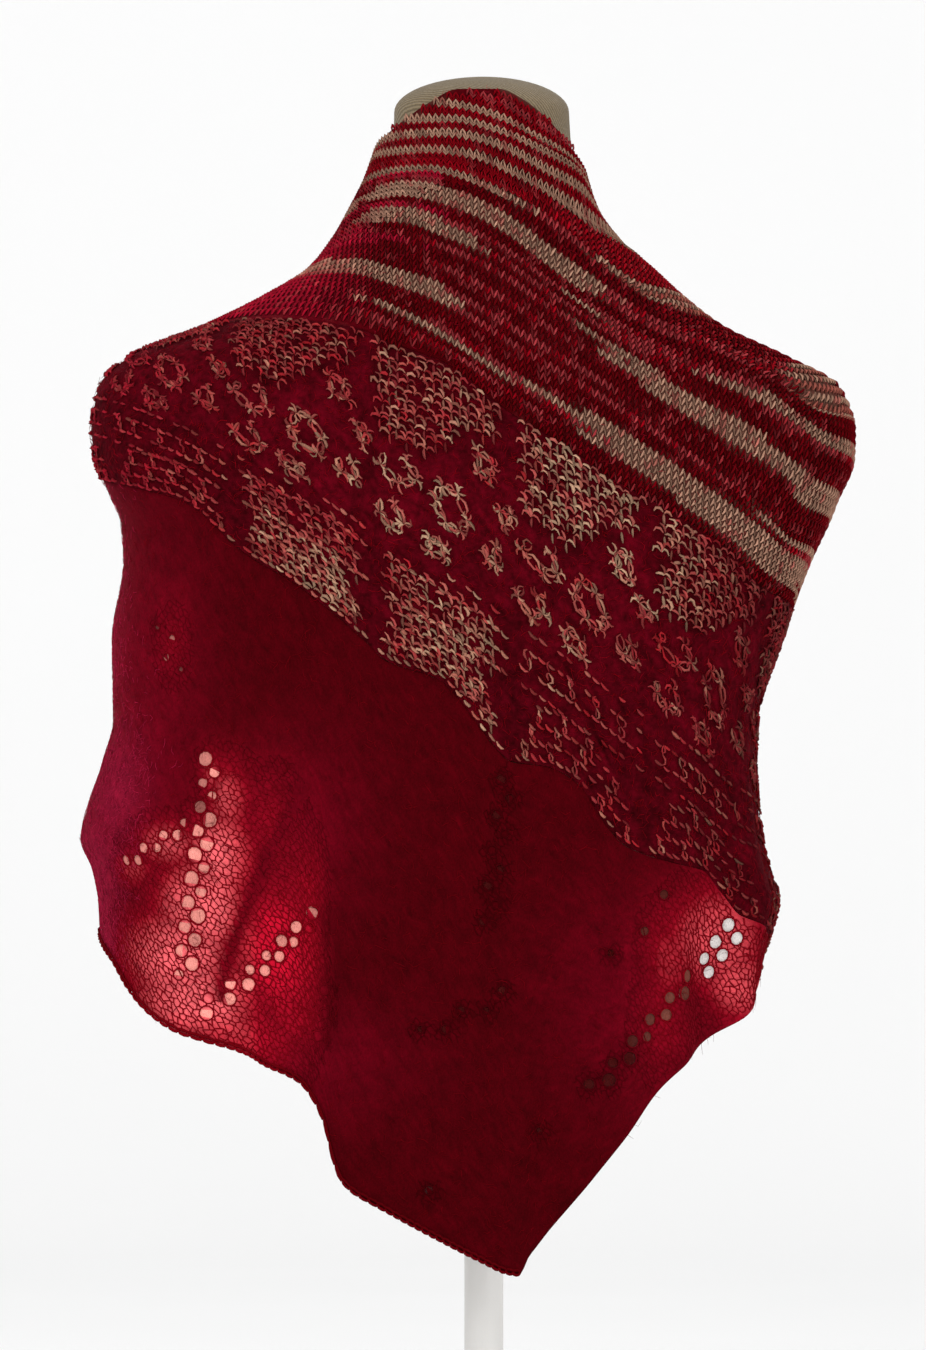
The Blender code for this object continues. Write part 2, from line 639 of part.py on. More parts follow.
def main():
    for old in list(bpy.data.objects):
        bpy.data.objects.remove(old, do_unlink=True)

    garter = material("garter_yarn", (0.26, 0.09, 0.07), 0.9, 0.0)
    stripes = material("striped_yarn", (0.20, 0.03, 0.03), 0.9, 0.0)
    mosaic = material("mosaic_yarn", (0.15, 0.02, 0.02), 0.9, 0.0)
    mohair = material("mohair", (0.08, 0.003, 0.006), 0.95, 0.0)
    jersey = material("jersey", (0.25, 0.15, 0.11), 0.85, 0.0)
    wood = material("painted_wood", (0.70, 0.68, 0.64), 0.5, 0.0)
    metal = material("painted_metal", (0.75, 0.74, 0.72), 0.35, 0.0)

    left_turns = even_turns(-FRONT_EDGE_TURN, TIP_TURN, LEFT_COLUMNS)
    right_turns = even_turns(TIP_TURN, FRONT_EDGE_TURN, RIGHT_COLUMNS)
    all_turns = left_turns + right_turns[1:]
    net_turns = [turn for turn in right_turns if turn < NET_END_TURN - NARROWEST_COLUMN] + [NET_END_TURN]
    upper_turns = [turn for turn in all_turns if abs(turn - NET_END_TURN) > NARROWEST_COLUMN] + [NET_END_TURN]
    upper_turns.sort()
    split_gap = math.degrees(SEAM_GAP / 2 / section_radius(CLOTH_COLUMNS, TIP_TURN, TIP_HEIGHT))

    knitted_section(
        "collar_garter", all_turns, below(NECKLINE, 0.0), below(GARTER_END, 0.0), COLLAR_ROWS, garter, RIDGE_RISE
    )
    stripes_top = below(GARTER_END, SEAM_GAP)
    knitted_section("striped_section", all_turns, stripes_top, below(STRIPES_END, 0.0), STRIPES_ROWS, stripes)
    mosaic_top = below(STRIPES_END, SEAM_GAP)
    knitted_section("mosaic_section", upper_turns, mosaic_top, mosaic_bottom, MOSAIC_ROWS, mosaic)
    left_net_turns = left_turns[:-1] + [TIP_TURN - split_gap]
    right_net_turns = [TIP_TURN + split_gap] + net_turns[1:]
    left_net = knitted_section(
        "mohair_left", left_net_turns, mohair_top, mohair_left_bottom, MOHAIR_ROWS, mohair
    )
    right_net = knitted_section("mohair_right", right_net_turns, mohair_top, below(HEM, 0.0), MOHAIR_ROWS, mohair)
    bindoff_edge(left_net_turns, mohair)

    places = eyelet_places()
    left_places = [place for place in places if place[0] < TIP_TURN - NARROWEST_COLUMN]
    right_places = [place for place in places if place[0] > TIP_TURN + NARROWEST_COLUMN]
    cut(left_net, eyelet_cutters("eyelets_left", left_places, mohair))
    cut(right_net, eyelet_cutters("eyelets_right", right_places, mohair))

    dress_form(jersey)
    end_cap(wood)
    stand(metal, metal)


main()
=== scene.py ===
import math

import bpy
import numpy as np
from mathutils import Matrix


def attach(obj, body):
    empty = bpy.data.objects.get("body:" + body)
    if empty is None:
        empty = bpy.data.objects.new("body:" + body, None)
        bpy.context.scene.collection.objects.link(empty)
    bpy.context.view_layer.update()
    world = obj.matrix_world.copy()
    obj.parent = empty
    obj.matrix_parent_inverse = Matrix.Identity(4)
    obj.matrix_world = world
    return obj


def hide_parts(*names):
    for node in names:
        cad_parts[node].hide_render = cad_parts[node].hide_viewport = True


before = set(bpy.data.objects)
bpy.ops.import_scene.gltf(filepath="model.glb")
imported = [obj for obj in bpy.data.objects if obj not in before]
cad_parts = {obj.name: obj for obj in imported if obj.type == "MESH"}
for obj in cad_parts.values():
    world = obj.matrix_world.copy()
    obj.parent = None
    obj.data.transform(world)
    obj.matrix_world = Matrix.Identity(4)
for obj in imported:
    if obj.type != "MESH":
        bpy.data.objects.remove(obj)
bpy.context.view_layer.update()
print("frame loaded:", len(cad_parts), "nodes")

# All lengths are metres. The back of the scarf faces -Y, and turns are degrees round the form's upright axis:
# 0 is the middle of the back, -90 the left side of the picture, and 158 either way the front edges.

photo = {
    "scale": 0.00056,    # metres to one pixel of the 926 x 1350 picture
    "midX": 467.5,       # where x is 0
    "tipY": 1272.0,      # the scarf's lowest point
    "height": 1350,
    "centreX": 463.0,
    "centreY": 675.0,
}
camera = {
    "distance": 8.0,
    "sensor": 36.0,
    "scalePlane": -0.05,    # the depth at which the picture's scale holds
}

cloth = {
    "axisX": 0.0092,
    "tipHeight": 0.1200,
    "frontEdge": 158.0,
    "foldReach": 0.75,      # share of a fold's drop over which it deepens
    # height, left, right, back, front, squareness
    "sections": (
        (0.8000, 0.0560, 0.0505, 0.0500, 0.0540, 2.0),
        (0.7650, 0.0578, 0.0522, 0.0520, 0.0565, 2.0),
        (0.7510, 0.0604, 0.0532, 0.0540, 0.0590, 2.0),
        (0.7343, 0.0660, 0.0572, 0.0590, 0.0640, 2.0),
        (0.7175, 0.0744, 0.0628, 0.0650, 0.0700, 2.0),
        (0.7007, 0.0840, 0.0745, 0.0720, 0.0770, 2.0),
        (0.6839, 0.0974, 0.0941, 0.0795, 0.0840, 2.0),
        (0.6671, 0.1243, 0.1126, 0.0860, 0.0910, 2.05),
        (0.6503, 0.1590, 0.1350, 0.0925, 0.0980, 2.1),
        (0.6335, 0.2004, 0.1703, 0.0975, 0.1050, 2.15),
        (0.6167, 0.2172, 0.2000, 0.1020, 0.1110, 2.2),
        (0.5915, 0.2212, 0.2084, 0.1070, 0.1190, 2.3),
        (0.5747, 0.2189, 0.2078, 0.1090, 0.1230, 2.35),
        (0.5523, 0.2094, 0.1988, 0.1105, 0.1275, 2.4),
        (0.5411, 0.2049, 0.1944, 0.1110, 0.1290, 2.4),
        (0.5187, 0.2032, 0.1837, 0.1110, 0.1310, 2.45),
        (0.4739, 0.2094, 0.1675, 0.1100, 0.1310, 2.5),
        (0.4291, 0.2088, 0.1540, 0.1085, 0.1270, 2.5),
        (0.4067, 0.2144, 0.1529, 0.1075, 0.1250, 2.5),
        (0.3619, 0.2268, 0.1568, 0.1060, 0.1210, 2.5),
        (0.3451, 0.2206, 0.1608, 0.1055, 0.1195, 2.5),
        (0.3283, 0.2172, 0.1658, 0.1045, 0.1180, 2.5),
        (0.3087, 0.2161, 0.1613, 0.1040, 0.1165, 2.5),
        (0.2863, 0.2150, 0.1563, 0.1030, 0.1150, 2.5),
        (0.1100, 0.2090, 0.1500, 0.0970, 0.1080, 2.5),
    ),
    # height, how far round the front the cloth reaches there, as a share of its reach at the neck
    "frontReach": ((0.27, 0.80), (0.40, 0.84), (0.52, 0.90), (0.63, 0.97), (0.70, 1.00)),
    # turn at the top, top, bottom, half-width in degrees, depth, lean in degrees per metre of drop
    "folds": (
        (-45.0, 0.400, 0.215, 9.0, -0.0085, -95.0),
        (-31.0, 0.380, 0.190, 9.0, 0.0060, -30.0),
        (-66.0, 0.460, 0.250, 10.0, 0.0050, -20.0),
        (14.0, 0.460, 0.140, 13.0, -0.0065, 20.0),
        (33.0, 0.420, 0.170, 12.0, 0.0050, 25.0),
        (56.0, 0.430, 0.240, 9.0, -0.0070, 35.0),
        (72.0, 0.520, 0.270, 8.0, 0.0045, 0.0),
        (-104.0, 0.560, 0.260, 9.0, -0.0120, -35.0),
        (-122.0, 0.580, 0.250, 8.0, 0.0100, -25.0),
        (-139.0, 0.600, 0.250, 7.0, -0.0110, -15.0),
        (-151.0, 0.560, 0.250, 6.0, 0.0070, -5.0),
        (106.0, 0.590, 0.260, 10.0, -0.0120, 30.0),
        (126.0, 0.540, 0.250, 8.0, 0.0090, 25.0),
        (143.0, 0.600, 0.250, 7.0, -0.0100, 10.0),
    ),
}


def smoothThrough(points, places):
    # a smooth curve through (place, value) points that never swings past them
    xs, ys = np.array(points, float).T
    places = np.clip(places, xs[0], xs[-1])
    slopes = np.diff(ys) / np.diff(xs)
    agree = slopes[:-1] * slopes[1:] > 0
    sums = np.where(agree, slopes[:-1] + slopes[1:], 1.0)
    inner = np.where(agree, 2 * slopes[:-1] * slopes[1:] / sums, 0.0)
    tangents = np.concatenate((slopes[:1], inner, slopes[-1:]))
    index = np.clip(np.searchsorted(xs, places, side="right") - 1, 0, len(xs) - 2)
    span = xs[index + 1] - xs[index]
    t = (places - xs[index]) / span
    rise = t * t * (3 - 2 * t)
    bend = tangents[index] * t * (1 - t) ** 2 - tangents[index + 1] * t * t * (1 - t)
    return ys[index] * (1 - rise) + ys[index + 1] * rise + span * bend


def sectionRadius(sections, turns, heights):
    # how far the sections reach from the axis, each a rounded square with four reaches
    rising = np.array(sorted(sections))
    columns = [smoothThrough(rising[:, (0, c)], heights) for c in range(1, rising.shape[1])]
    left, right, back, front, square = columns
    angle = np.radians(turns)
    sideways = np.abs(np.sin(angle)) / np.where(turns > 0, right, left)
    lengthways = np.abs(np.cos(angle)) / np.where(np.abs(turns) < 90, back, front)
    return (sideways**square + lengthways**square) ** (-1 / square)


def foldDepth(turns, heights):
    # how far the folds stand out, or in where it is less than nothing
    depth = np.zeros(np.broadcast(turns, heights).shape)
    for foldTurn, top, bottom, halfWidth, fold, lean in cloth["folds"]:
        drop = np.clip(top - heights, 0.0, None)
        aside = np.clip((turns - foldTurn - lean * drop) / halfWidth, -1, 1)
        strength = np.clip(drop / (cloth["foldReach"] * (top - bottom)), 0, 1) ** 1.5
        depth += fold * np.cos(aside * math.pi / 2) ** 2 * strength
    return depth


def clothOutside(turns, heights):
    # points on the outside of the cloth's wall
    turns, heights = np.broadcast_arrays(turns, heights)
    pastSide = np.clip(np.abs(turns) - 90.0, 0.0, None) * smoothThrough(cloth["frontReach"], heights)
    real = np.sign(turns) * (np.minimum(np.abs(turns), 90.0) + pastSide)
    radius = sectionRadius(cloth["sections"], real, heights) + foldDepth(turns, heights)
    angle = np.radians(real)
    return np.stack((cloth["axisX"] + radius * np.sin(angle), -radius * np.cos(angle), heights), axis=-1)


def clothNormal(turns, heights):
    along = clothOutside(turns + 0.25, heights) - clothOutside(turns - 0.25, heights)
    up = clothOutside(turns, heights + 0.0008) - clothOutside(turns, heights - 0.0008)
    out = np.cross(along, up)
    return out / np.linalg.norm(out, axis=-1, keepdims=True)


def clothPoints(turns, heights, lift):
    lift = np.broadcast_to(lift, np.shape(turns))[..., None]
    return clothOutside(turns, heights) + lift * clothNormal(turns, heights)


def turnOf(across, heights):
    # the turns at which points of the back lie that far across
    low = np.full(len(across), -90.0)
    high = np.full(len(across), 90.0)
    for _ in range(30):
        middle = (low + high) / 2
        x = cloth["axisX"] + sectionRadius(cloth["sections"], middle, heights) * np.sin(np.radians(middle))
        low = np.where(x < across, middle, low)
        high = np.where(x < across, high, middle)
    return (low + high) / 2


def contour(left, seen, right):
    # (turn, height) points of a line on the cloth: its hidden ends, and between them points in picture pixels
    seen = np.array(seen, float)
    across = (seen[:, 0] - photo["midX"]) * photo["scale"]
    heights = cloth["tipHeight"] + (photo["tipY"] - seen[:, 1]) * photo["scale"]
    turns = turnOf(across, heights)
    shown = [(t, h) for t, h in zip(turns, heights) if abs(t) < 89]
    return list(left) + shown + list(right)


# The lines that rows of knitting follow, numbered down from the neck ridge:
# row, (turn, height) on the left front, picture pixels across the back, (turn, height) on the right front
rowLines = (
    (0, ((-158, 0.722), (-120, 0.745), (-90, 0.765)),
     ((415, 98), (454, 103), (500, 116), (531, 133), (569, 156)),
     ((90, 0.730), (120, 0.712), (158, 0.690))),
    (2, ((-158, 0.715), (-120, 0.738), (-90, 0.756)),
     ((402, 118), (454, 118), (500, 130), (546, 150), (581, 172)),
     ((90, 0.721), (120, 0.700), (158, 0.672))),
    (4, ((-158, 0.707), (-120, 0.730), (-90, 0.747)),
     ((390, 135), (446, 131), (500, 143), (546, 168), (585, 191)),
     ((90, 0.711), (120, 0.688), (158, 0.655))),
    (6, ((-158, 0.699), (-120, 0.722), (-90, 0.740)),
     ((377, 152), (427, 149), (473, 154), (515, 172), (562, 197)),
     ((90, 0.698), (120, 0.674), (158, 0.637))),
    (9, ((-158, 0.687), (-120, 0.708), (-90, 0.728)),
     ((393, 170), (428, 168), (462, 176), (501, 193), (532, 209), (571, 238), (609, 267), (648, 294)),
     ((90, 0.661), (120, 0.640), (158, 0.590))),
    (13, ((-158, 0.676), (-120, 0.693), (-90, 0.715)),
     ((377, 193), (404, 188), (443, 195), (470, 205), (501, 222), (532, 246), (571, 277), (598, 296),
      (629, 315), (667, 335), (706, 346), (749, 366), (783, 385), (818, 408)),
     ((90, 0.598), (120, 0.575), (158, 0.530))),
    (19, ((-158, 0.660), (-120, 0.672), (-90, 0.695)),
     ((366, 219), (404, 220), (447, 236), (478, 248), (509, 265), (540, 288), (571, 308), (600, 328),
      (629, 346), (667, 367), (702, 383), (745, 402), (783, 420), (822, 447)),
     ((90, 0.570), (120, 0.545), (158, 0.495))),
    (28, ((-158, 0.645), (-120, 0.658), (-90, 0.678)),
     ((350, 266), (397, 280), (435, 292), (470, 311), (501, 331), (532, 350), (571, 373), (605, 394),
      (636, 415), (671, 437), (702, 458), (729, 478), (764, 504), (795, 530)),
     ((90, 0.528), (120, 0.500), (158, 0.445))),
    (34, ((-158, 0.632), (-120, 0.645), (-90, 0.662)),
     ((300, 292), (370, 300), (397, 311), (424, 325), (455, 345), (486, 365), (517, 387), (551, 408),
      (586, 431), (629, 456), (667, 481), (706, 508), (745, 536), (783, 567)),
     ((90, 0.501), (120, 0.465), (158, 0.405))),
    (38, ((-158, 0.625), (-120, 0.638), (-90, 0.650)),
     ((267.5, 317.5), (350, 327), (397, 346), (455, 369), (501, 402), (571, 448), (609, 476), (671, 511),
      (725, 545), (764, 584)),
     ((90, 0.490), (120, 0.445), (158, 0.380))),
    (84, ((-158, 0.555), (-120, 0.560), (-90, 0.565)),
     ((120, 488), (180, 515), (235, 553), (290, 590), (330, 618), (385, 662), (440, 700), (498, 745),
      (547, 780), (602, 820), (633, 842), (690, 876), (742, 912)),
     ((90, 0.308), (120, 0.255), (158, 0.180))),
    (152, ((-158, 0.270), (-130, 0.292), (-110, 0.306), (-90, 0.3087)),
     ((108, 955), (130, 985), (190, 1035), (225, 1052), (260, 1062), (300, 1080), (326, 1120), (350, 1180),
      (373, 1200), (407, 1220), (455, 1243), (521, 1272), (600, 1330), (700, 1400)),
     ((90, 0.035), (120, 0.010), (158, -0.040))),
)
gauge = {
    "stitchWidth": 0.0055,
    "rowHeight": 0.0042,
    "firstRow": -14,
    "lastRow": 156,
    "top": 0.800,
    "bottom": 0.112,
    "levels": 300,
    "turnStep": 1.0,
}


def makeRows():
    # the height of every row at every turn, and how many stitches each place is from mid back
    turns = np.arange(-cloth["frontEdge"], cloth["frontEdge"] + 0.5, gauge["turnStep"])
    levels = np.linspace(gauge["top"], gauge["bottom"], gauge["levels"])
    surface = clothOutside(turns[:, None], levels[None, :])
    steps = np.linalg.norm(np.diff(surface, axis=1), axis=-1)
    depths = np.concatenate((np.zeros((len(turns), 1)), np.cumsum(steps, axis=1)), axis=1)
    numbers = np.arange(gauge["firstRow"], gauge["lastRow"] + 1)
    lines = np.array([line[0] for line in rowLines], float)
    lineHeights = np.array([smoothThrough(contour(*line[1:]), turns) for line in rowLines])
    heights = np.empty((len(turns), len(numbers)))
    for i, depth in enumerate(depths):
        past = np.clip(levels[-1] - lineHeights[:, i], 0.0, None)    # lines that end below the cloth's tip
        lineDepths = np.interp(-lineHeights[:, i], -levels, depth) + past
        rowDepths = np.interp(numbers, lines, lineDepths)
        rowDepths += np.minimum(numbers - lines[0], 0.0) * gauge["rowHeight"]
        rowDepths += np.maximum(numbers - lines[-1], 0.0) * gauge["rowHeight"]
        heights[i] = np.interp(rowDepths, depth, levels) - np.clip(rowDepths - depth[-1], 0.0, None)
    points = clothOutside(turns[:, None], np.maximum(heights, gauge["bottom"]))
    steps = np.linalg.norm(np.diff(points, axis=0), axis=-1)
    along = np.concatenate((np.zeros((1, len(numbers))), np.cumsum(steps, axis=0)))
    along -= along[len(turns) // 2]
    return turns, numbers, heights, along / gauge["stitchWidth"]


rowTurns, rowNumbers, rowHeights, rowStitches = makeRows()


def stitchPlace(stitches, rows):
    # turn and height of places counted in stitches along a row from mid back, and in rows down from the neck
    stitches, rows = np.broadcast_arrays(np.asarray(stitches, float), np.asarray(rows, float))
    upper = np.clip(np.floor(rows).astype(int) - rowNumbers[0], 0, len(rowNumbers) - 2)
    part = rows - upper - rowNumbers[0]
    turns = np.empty(stitches.shape)
    heights = np.empty(stitches.shape)
    for r in np.unique(upper):
        here = upper == r
        share = part[here]
        above = np.interp(stitches[here], rowStitches[:, r], rowTurns)
        below = np.interp(stitches[here], rowStitches[:, r + 1], rowTurns)
        turns[here] = above * (1 - share) + below * share
        top = np.interp(turns[here], rowTurns, rowHeights[:, r])
        bottom = np.interp(turns[here], rowTurns, rowHeights[:, r + 1])
        heights[here] = top * (1 - share) + bottom * share
    return turns, heights


def rowPlace(turns, heights):
    # the other way: stitches and rows of places given by turn and height, along whole columns
    stitches = np.empty(heights.shape)
    rows = np.empty(heights.shape)
    for i in range(len(turns)):
        column = [np.interp(turns[i], rowTurns, rowHeights[:, r]) for r in range(len(rowNumbers))]
        rows[i] = np.interp(-heights[i], -np.array(column), rowNumbers)
        counts = [np.interp(turns[i], rowTurns, rowStitches[:, r]) for r in range(len(rowNumbers))]
        stitches[i] = np.interp(rows[i], rowNumbers, counts)
    return stitches, rows


print("rows laid out:", len(rowNumbers))

# Where each section of knitting ends: (turn, height)
edges = {
    "neck": ((-158, 0.7000), (-125, 0.7220), (-90, 0.7500), (-55, 0.7660), (-35, 0.7760), (-17, 0.7830),
             (10, 0.7830), (22, 0.7790), (55, 0.7595), (85, 0.7400), (125, 0.7180), (158, 0.7000)),
    "garter": ((-158, 0.6700), (-120, 0.6740), (-90, 0.6850), (-76, 0.6920), (-49, 0.7130), (-23, 0.7290),
               (-3, 0.7300), (10, 0.7240), (43, 0.7190), (66, 0.7070), (90, 0.6940), (120, 0.6550),
               (158, 0.6000)),
    "stripes": contour(
        ((-158, 0.6250), (-120, 0.6380), (-90, 0.6500)),
        ((267.5, 317.5), (350, 327), (397, 346), (455, 369), (501, 408), (571, 451), (609, 478), (671, 512),
         (725, 547), (764, 590)),
        ((90, 0.4900), (120, 0.4450), (158, 0.3800))),
    "mosaic": contour(
        ((-158, 0.5550), (-120, 0.5650), (-90, 0.5640)),
        ((120, 485), (180, 500), (235, 545), (255, 560), (290, 580), (330, 610), (370, 645), (385, 660),
         (440, 680), (460, 700), (498, 750), (511, 761), (547, 766), (580, 785), (602, 820), (618, 840),
         (633, 849), (675, 862), (709, 870), (724, 889), (742, 916)),
        ((90, 0.3040), (100, 0.2890))),
    "hem": contour(
        ((-158, 0.2700), (-130, 0.2920), (-110, 0.3060), (-90, 0.3087)),
        ((108, 955), (130, 985), (190, 1035), (260, 1062), (300, 1080), (326, 1120), (340, 1160), (350, 1180),
         (373, 1200), (407, 1220), (480, 1258), (510, 1271), (520, 1272), (530, 1255), (543, 1240),
         (574, 1200), (616, 1140), (667, 1080), (716, 1040), (755, 997)),
        ((90, 0.2863), (110, 0.2850), (130, 0.2800), (158, 0.2680))),
}
seams = {
    "gap": 0.0003,       # between the shells of two sections
    "netEnd": 97.0,      # turn at which the net runs out, and the mosaic goes down to the hem
    "leastNet": 0.0019,  # height of the net just before it runs out
}


def edgeHeight(name, turns):
    heights = smoothThrough(edges[name], turns)
    if name == "mosaic":
        hem = smoothThrough(edges["hem"], turns)
        heights = np.where(turns > seams["netEnd"], hem, np.maximum(heights, hem + seams["leastNet"]))
    return heights


# Colours as they look in even light, 0 to 255, except those marked below as painted light and painted shade
dyes = {
    "tan": (144, 108, 90),
    "pale": (160, 126, 102),
    "rosy": (152, 78, 70),
    "rose": (132, 42, 46),
    "pink": (138, 12, 34),
    "flame": (156, 8, 22),
    "red": (118, 2, 14),
    "dark": (84, 0, 6),
    "ground": (64, 1, 9),
    # painted shade of the depths between stitches
    "depthShade": (62, 0, 6),
    "night": (62, 0, 5),
    # painted dim light through the net
    "halfLit": (100, 2, 20),
    "strand": (112, 3, 15),
    # lit, ember and glow: painted light through the net
    "lit": (222, 92, 98),
    "ember": (132, 7, 26),
    "glow": (196, 16, 44),
    # painted pink light through the brushed edge
    "backlitBlush": (142, 22, 52),
    # painted what shows through the eyelets: light through the far cloth, the form in shade and the white
    # backdrop
    "paintedLightFilm": (214, 132, 122),
    "shadedFormBrown": (128, 72, 60),
    "backdropWhite": (205, 198, 195),
}


def dye(name):
    shade = np.array(dyes[name]) / 255.0
    return np.where(shade <= 0.04045, shade / 12.92, ((shade + 0.055) / 1.055) ** 2.4)


class Socket:
    # a shader socket; an expression on sockets and numbers adds its Math nodes
    def __init__(self, paint, link):
        self.paint = paint
        self.link = link

    def join(self, operation, first, second):
        return self.paint.add("Math", {"operation": operation}, {0: first, 1: second})

    def __add__(self, other):
        return self.join("ADD", self, other)

    def __radd__(self, other):
        return self.join("ADD", other, self)

    def __sub__(self, other):
        return self.join("SUBTRACT", self, other)

    def __rsub__(self, other):
        return self.join("SUBTRACT", other, self)

    def __mul__(self, other):
        return self.join("MULTIPLY", self, other)

    def __rmul__(self, other):
        return self.join("MULTIPLY", other, self)


class Paint:
    # a material and its Principled shader
    def __init__(self, name, **constants):
        self.material = bpy.data.materials.new(name)
        self.material.use_nodes = True
        self.tree = self.material.node_tree
        self.shader = self.tree.nodes["Principled BSDF"]
        for socket, value in constants.items():
            self.shader.inputs[socket.replace("_", " ")].default_value = value

    def add(self, kind, settings=None, inputs=None, out=0):
        node = self.tree.nodes.new("ShaderNode" + kind)
        for key, value in (settings or {}).items():
            setattr(node, key, value)
        for key, value in (inputs or {}).items():
            self.feed(node.inputs[key], value)
        return Socket(self, node.outputs[out])

    def feed(self, socket, value):
        if isinstance(value, Socket):
            self.tree.links.new(value.link, socket)
        else:
            socket.default_value = value

    def place(self, stretch=(1.0, 1.0, 1.0)):
        coordinates = self.add("TexCoord", out="Object")
        return self.add("Mapping", None, {"Vector": coordinates, "Scale": stretch})

    def noise(self, size, detail=2.0, stretch=(1.0, 1.0, 1.0)):
        # clouds about as wide as size, from 0 to 1
        place = self.place(stretch)
        return self.add("TexNoise", None, {"Vector": place, "Scale": 1.0 / size, "Detail": detail})

    def attribute(self, name, out="Color"):
        return self.add("Attribute", {"attribute_name": name}, None, out)

    def times(self, colour, factor):
        # a colour darkened or lightened by a number that varies
        grey = self.add("CombineColor", None, {"Red": factor, "Green": factor, "Blue": factor})
        settings = {"data_type": "RGBA", "blend_type": "MULTIPLY"}
        return self.add("Mix", settings, {0: 1.0, 6: colour, 7: grey}, 2)

    def mixed(self, share, first, second):
        return self.add("Mix", {"data_type": "RGBA"}, {0: share, 6: first, 7: second}, 2)

    def bump(self, height, depth):
        bumped = self.add("Bump", None, {"Height": height, "Distance": depth, "Strength": 1.0})
        self.feed(self.shader.inputs["Normal"], bumped)

    def finish(self, **links):
        for socket, value in links.items():
            self.feed(self.shader.inputs[socket.replace("_", " ")], value)
        return self.material


def yarnPaint(name, roughness, sheen, tint, fibre, spread, cloudy=0.2):
    # spun yarn: its dyed colour comes with each strand, its fibres from fine noise
    paint = Paint(name, Roughness=roughness, Sheen_Weight=sheen, Sheen_Roughness=0.5,
                  Sheen_Tint=(*tint, 1.0), Specular_IOR_Level=0.02)
    fibres = paint.noise(fibre, 3.0)
    clouds = paint.noise(0.006, 1.0)
    shade = 1.0 - spread * 0.5 + spread * fibres + cloudy * (clouds - 0.5)
    paint.bump(fibres, fibre * 0.5)
    return paint.finish(Base_Color=paint.times(paint.attribute("dye"), shade))


woolPaint = yarnPaint("wool yarn", 0.95, 0.02, (0.8, 0.3, 0.3), 0.0009, 0.8)
mohairPaint = yarnPaint("mohair yarn", 0.85, 0.05, (0.9, 0.03, 0.06), 0.0007, 0.8)
fuzzyPaint = yarnPaint("brushed ground", 0.95, 0.04, (0.9, 0.04, 0.08), 0.0024, 1.5, 1.3)


def makeYarnTree():
    # paths to yarn: each path becomes a tube as thick as its own thickness says, a little uneven
    tree = bpy.data.node_groups.new("spin yarn", "GeometryNodeTree")
    face = tree.interface
    face.new_socket("Geometry", in_out="INPUT", socket_type="NodeSocketGeometry")
    for name, kind in (("Yarn radius", "Float"), ("Sides", "Int"), ("Uneven", "Float"), ("Seed", "Int"),
                       ("Finish", "Material")):
        face.new_socket(name, in_out="INPUT", socket_type="NodeSocket" + kind)
    face.new_socket("Geometry", in_out="OUTPUT", socket_type="NodeSocketGeometry")

    def add(kind, settings=None, inputs=None):
        node = tree.nodes.new(kind)
        for key, value in (settings or {}).items():
            setattr(node, key, value)
        for key, value in (inputs or {}).items():
            if isinstance(value, bpy.types.NodeSocket):
                tree.links.new(value, node.inputs[key])
            else:
                node.inputs[key].default_value = value
        return node

    def multiplied(first, second):
        return add("ShaderNodeMath", {"operation": "MULTIPLY"}, {0: first, 1: second}).outputs[0]

    group = add("NodeGroupInput").outputs
    named = add("GeometryNodeInputNamedAttribute", {"data_type": "FLOAT"}, {"Name": "thickness"})
    swing = add("FunctionNodeRandomValue", {"data_type": "FLOAT"}, {2: -1.0, 3: 1.0, "Seed": group["Seed"]})
    swung = add("ShaderNodeMath", {"operation": "MULTIPLY_ADD"},
                {0: swing.outputs[1], 1: group["Uneven"], 2: 1.0})
    radius = multiplied(multiplied(named.outputs[0], swung.outputs[0]), group["Yarn radius"])
    curves = add("GeometryNodeMeshToCurve", None, {"Mesh": group["Geometry"]}).outputs[0]
    ring = add("GeometryNodeCurvePrimitiveCircle", None, {"Resolution": group["Sides"], "Radius": 1.0})
    tubes = add("GeometryNodeCurveToMesh", None,
                {"Curve": curves, "Profile Curve": ring.outputs[0], "Scale": radius, "Fill Caps": True})
    smooth = add("GeometryNodeSetShadeSmooth", None, {"Geometry": tubes.outputs[0]})
    real = add("GeometryNodeRealizeInstances", None, {"Geometry": smooth.outputs[0]})
    done = add("GeometryNodeSetMaterial", None, {"Geometry": real.outputs[0], "Material": group["Finish"]})
    tree.links.new(done.outputs[0], add("NodeGroupOutput").inputs[0])
    return tree


yarnTree = makeYarnTree()


def newMesh(name, points, faces=(), edges=()):
    mesh = bpy.data.meshes.new(name)
    mesh.from_pydata(np.asarray(points).reshape(-1, 3).tolist(), list(edges), list(faces))
    mesh.update()
    return mesh


def addObject(name, mesh):
    made = bpy.data.objects.new(name, mesh)
    bpy.context.scene.collection.objects.link(made)
    return made


def addShades(mesh, shades):
    attribute = mesh.attributes.new("dye", "FLOAT_COLOR", "POINT")
    attribute.data.foreach_set("color", np.asarray(shades, np.float32).ravel())


def paths(points, thickness, shades):
    # many paths with the same number of points each, as spin takes them
    count, length = points.shape[:2]
    first = np.arange(count)[:, None] * length + np.arange(length - 1)
    return (points.reshape(-1, 3), np.broadcast_to(thickness, (count, length)).ravel(),
            np.broadcast_to(shades, (count, length, 3)).reshape(-1, 3),
            np.stack((first, first + 1), axis=-1).reshape(-1, 2))


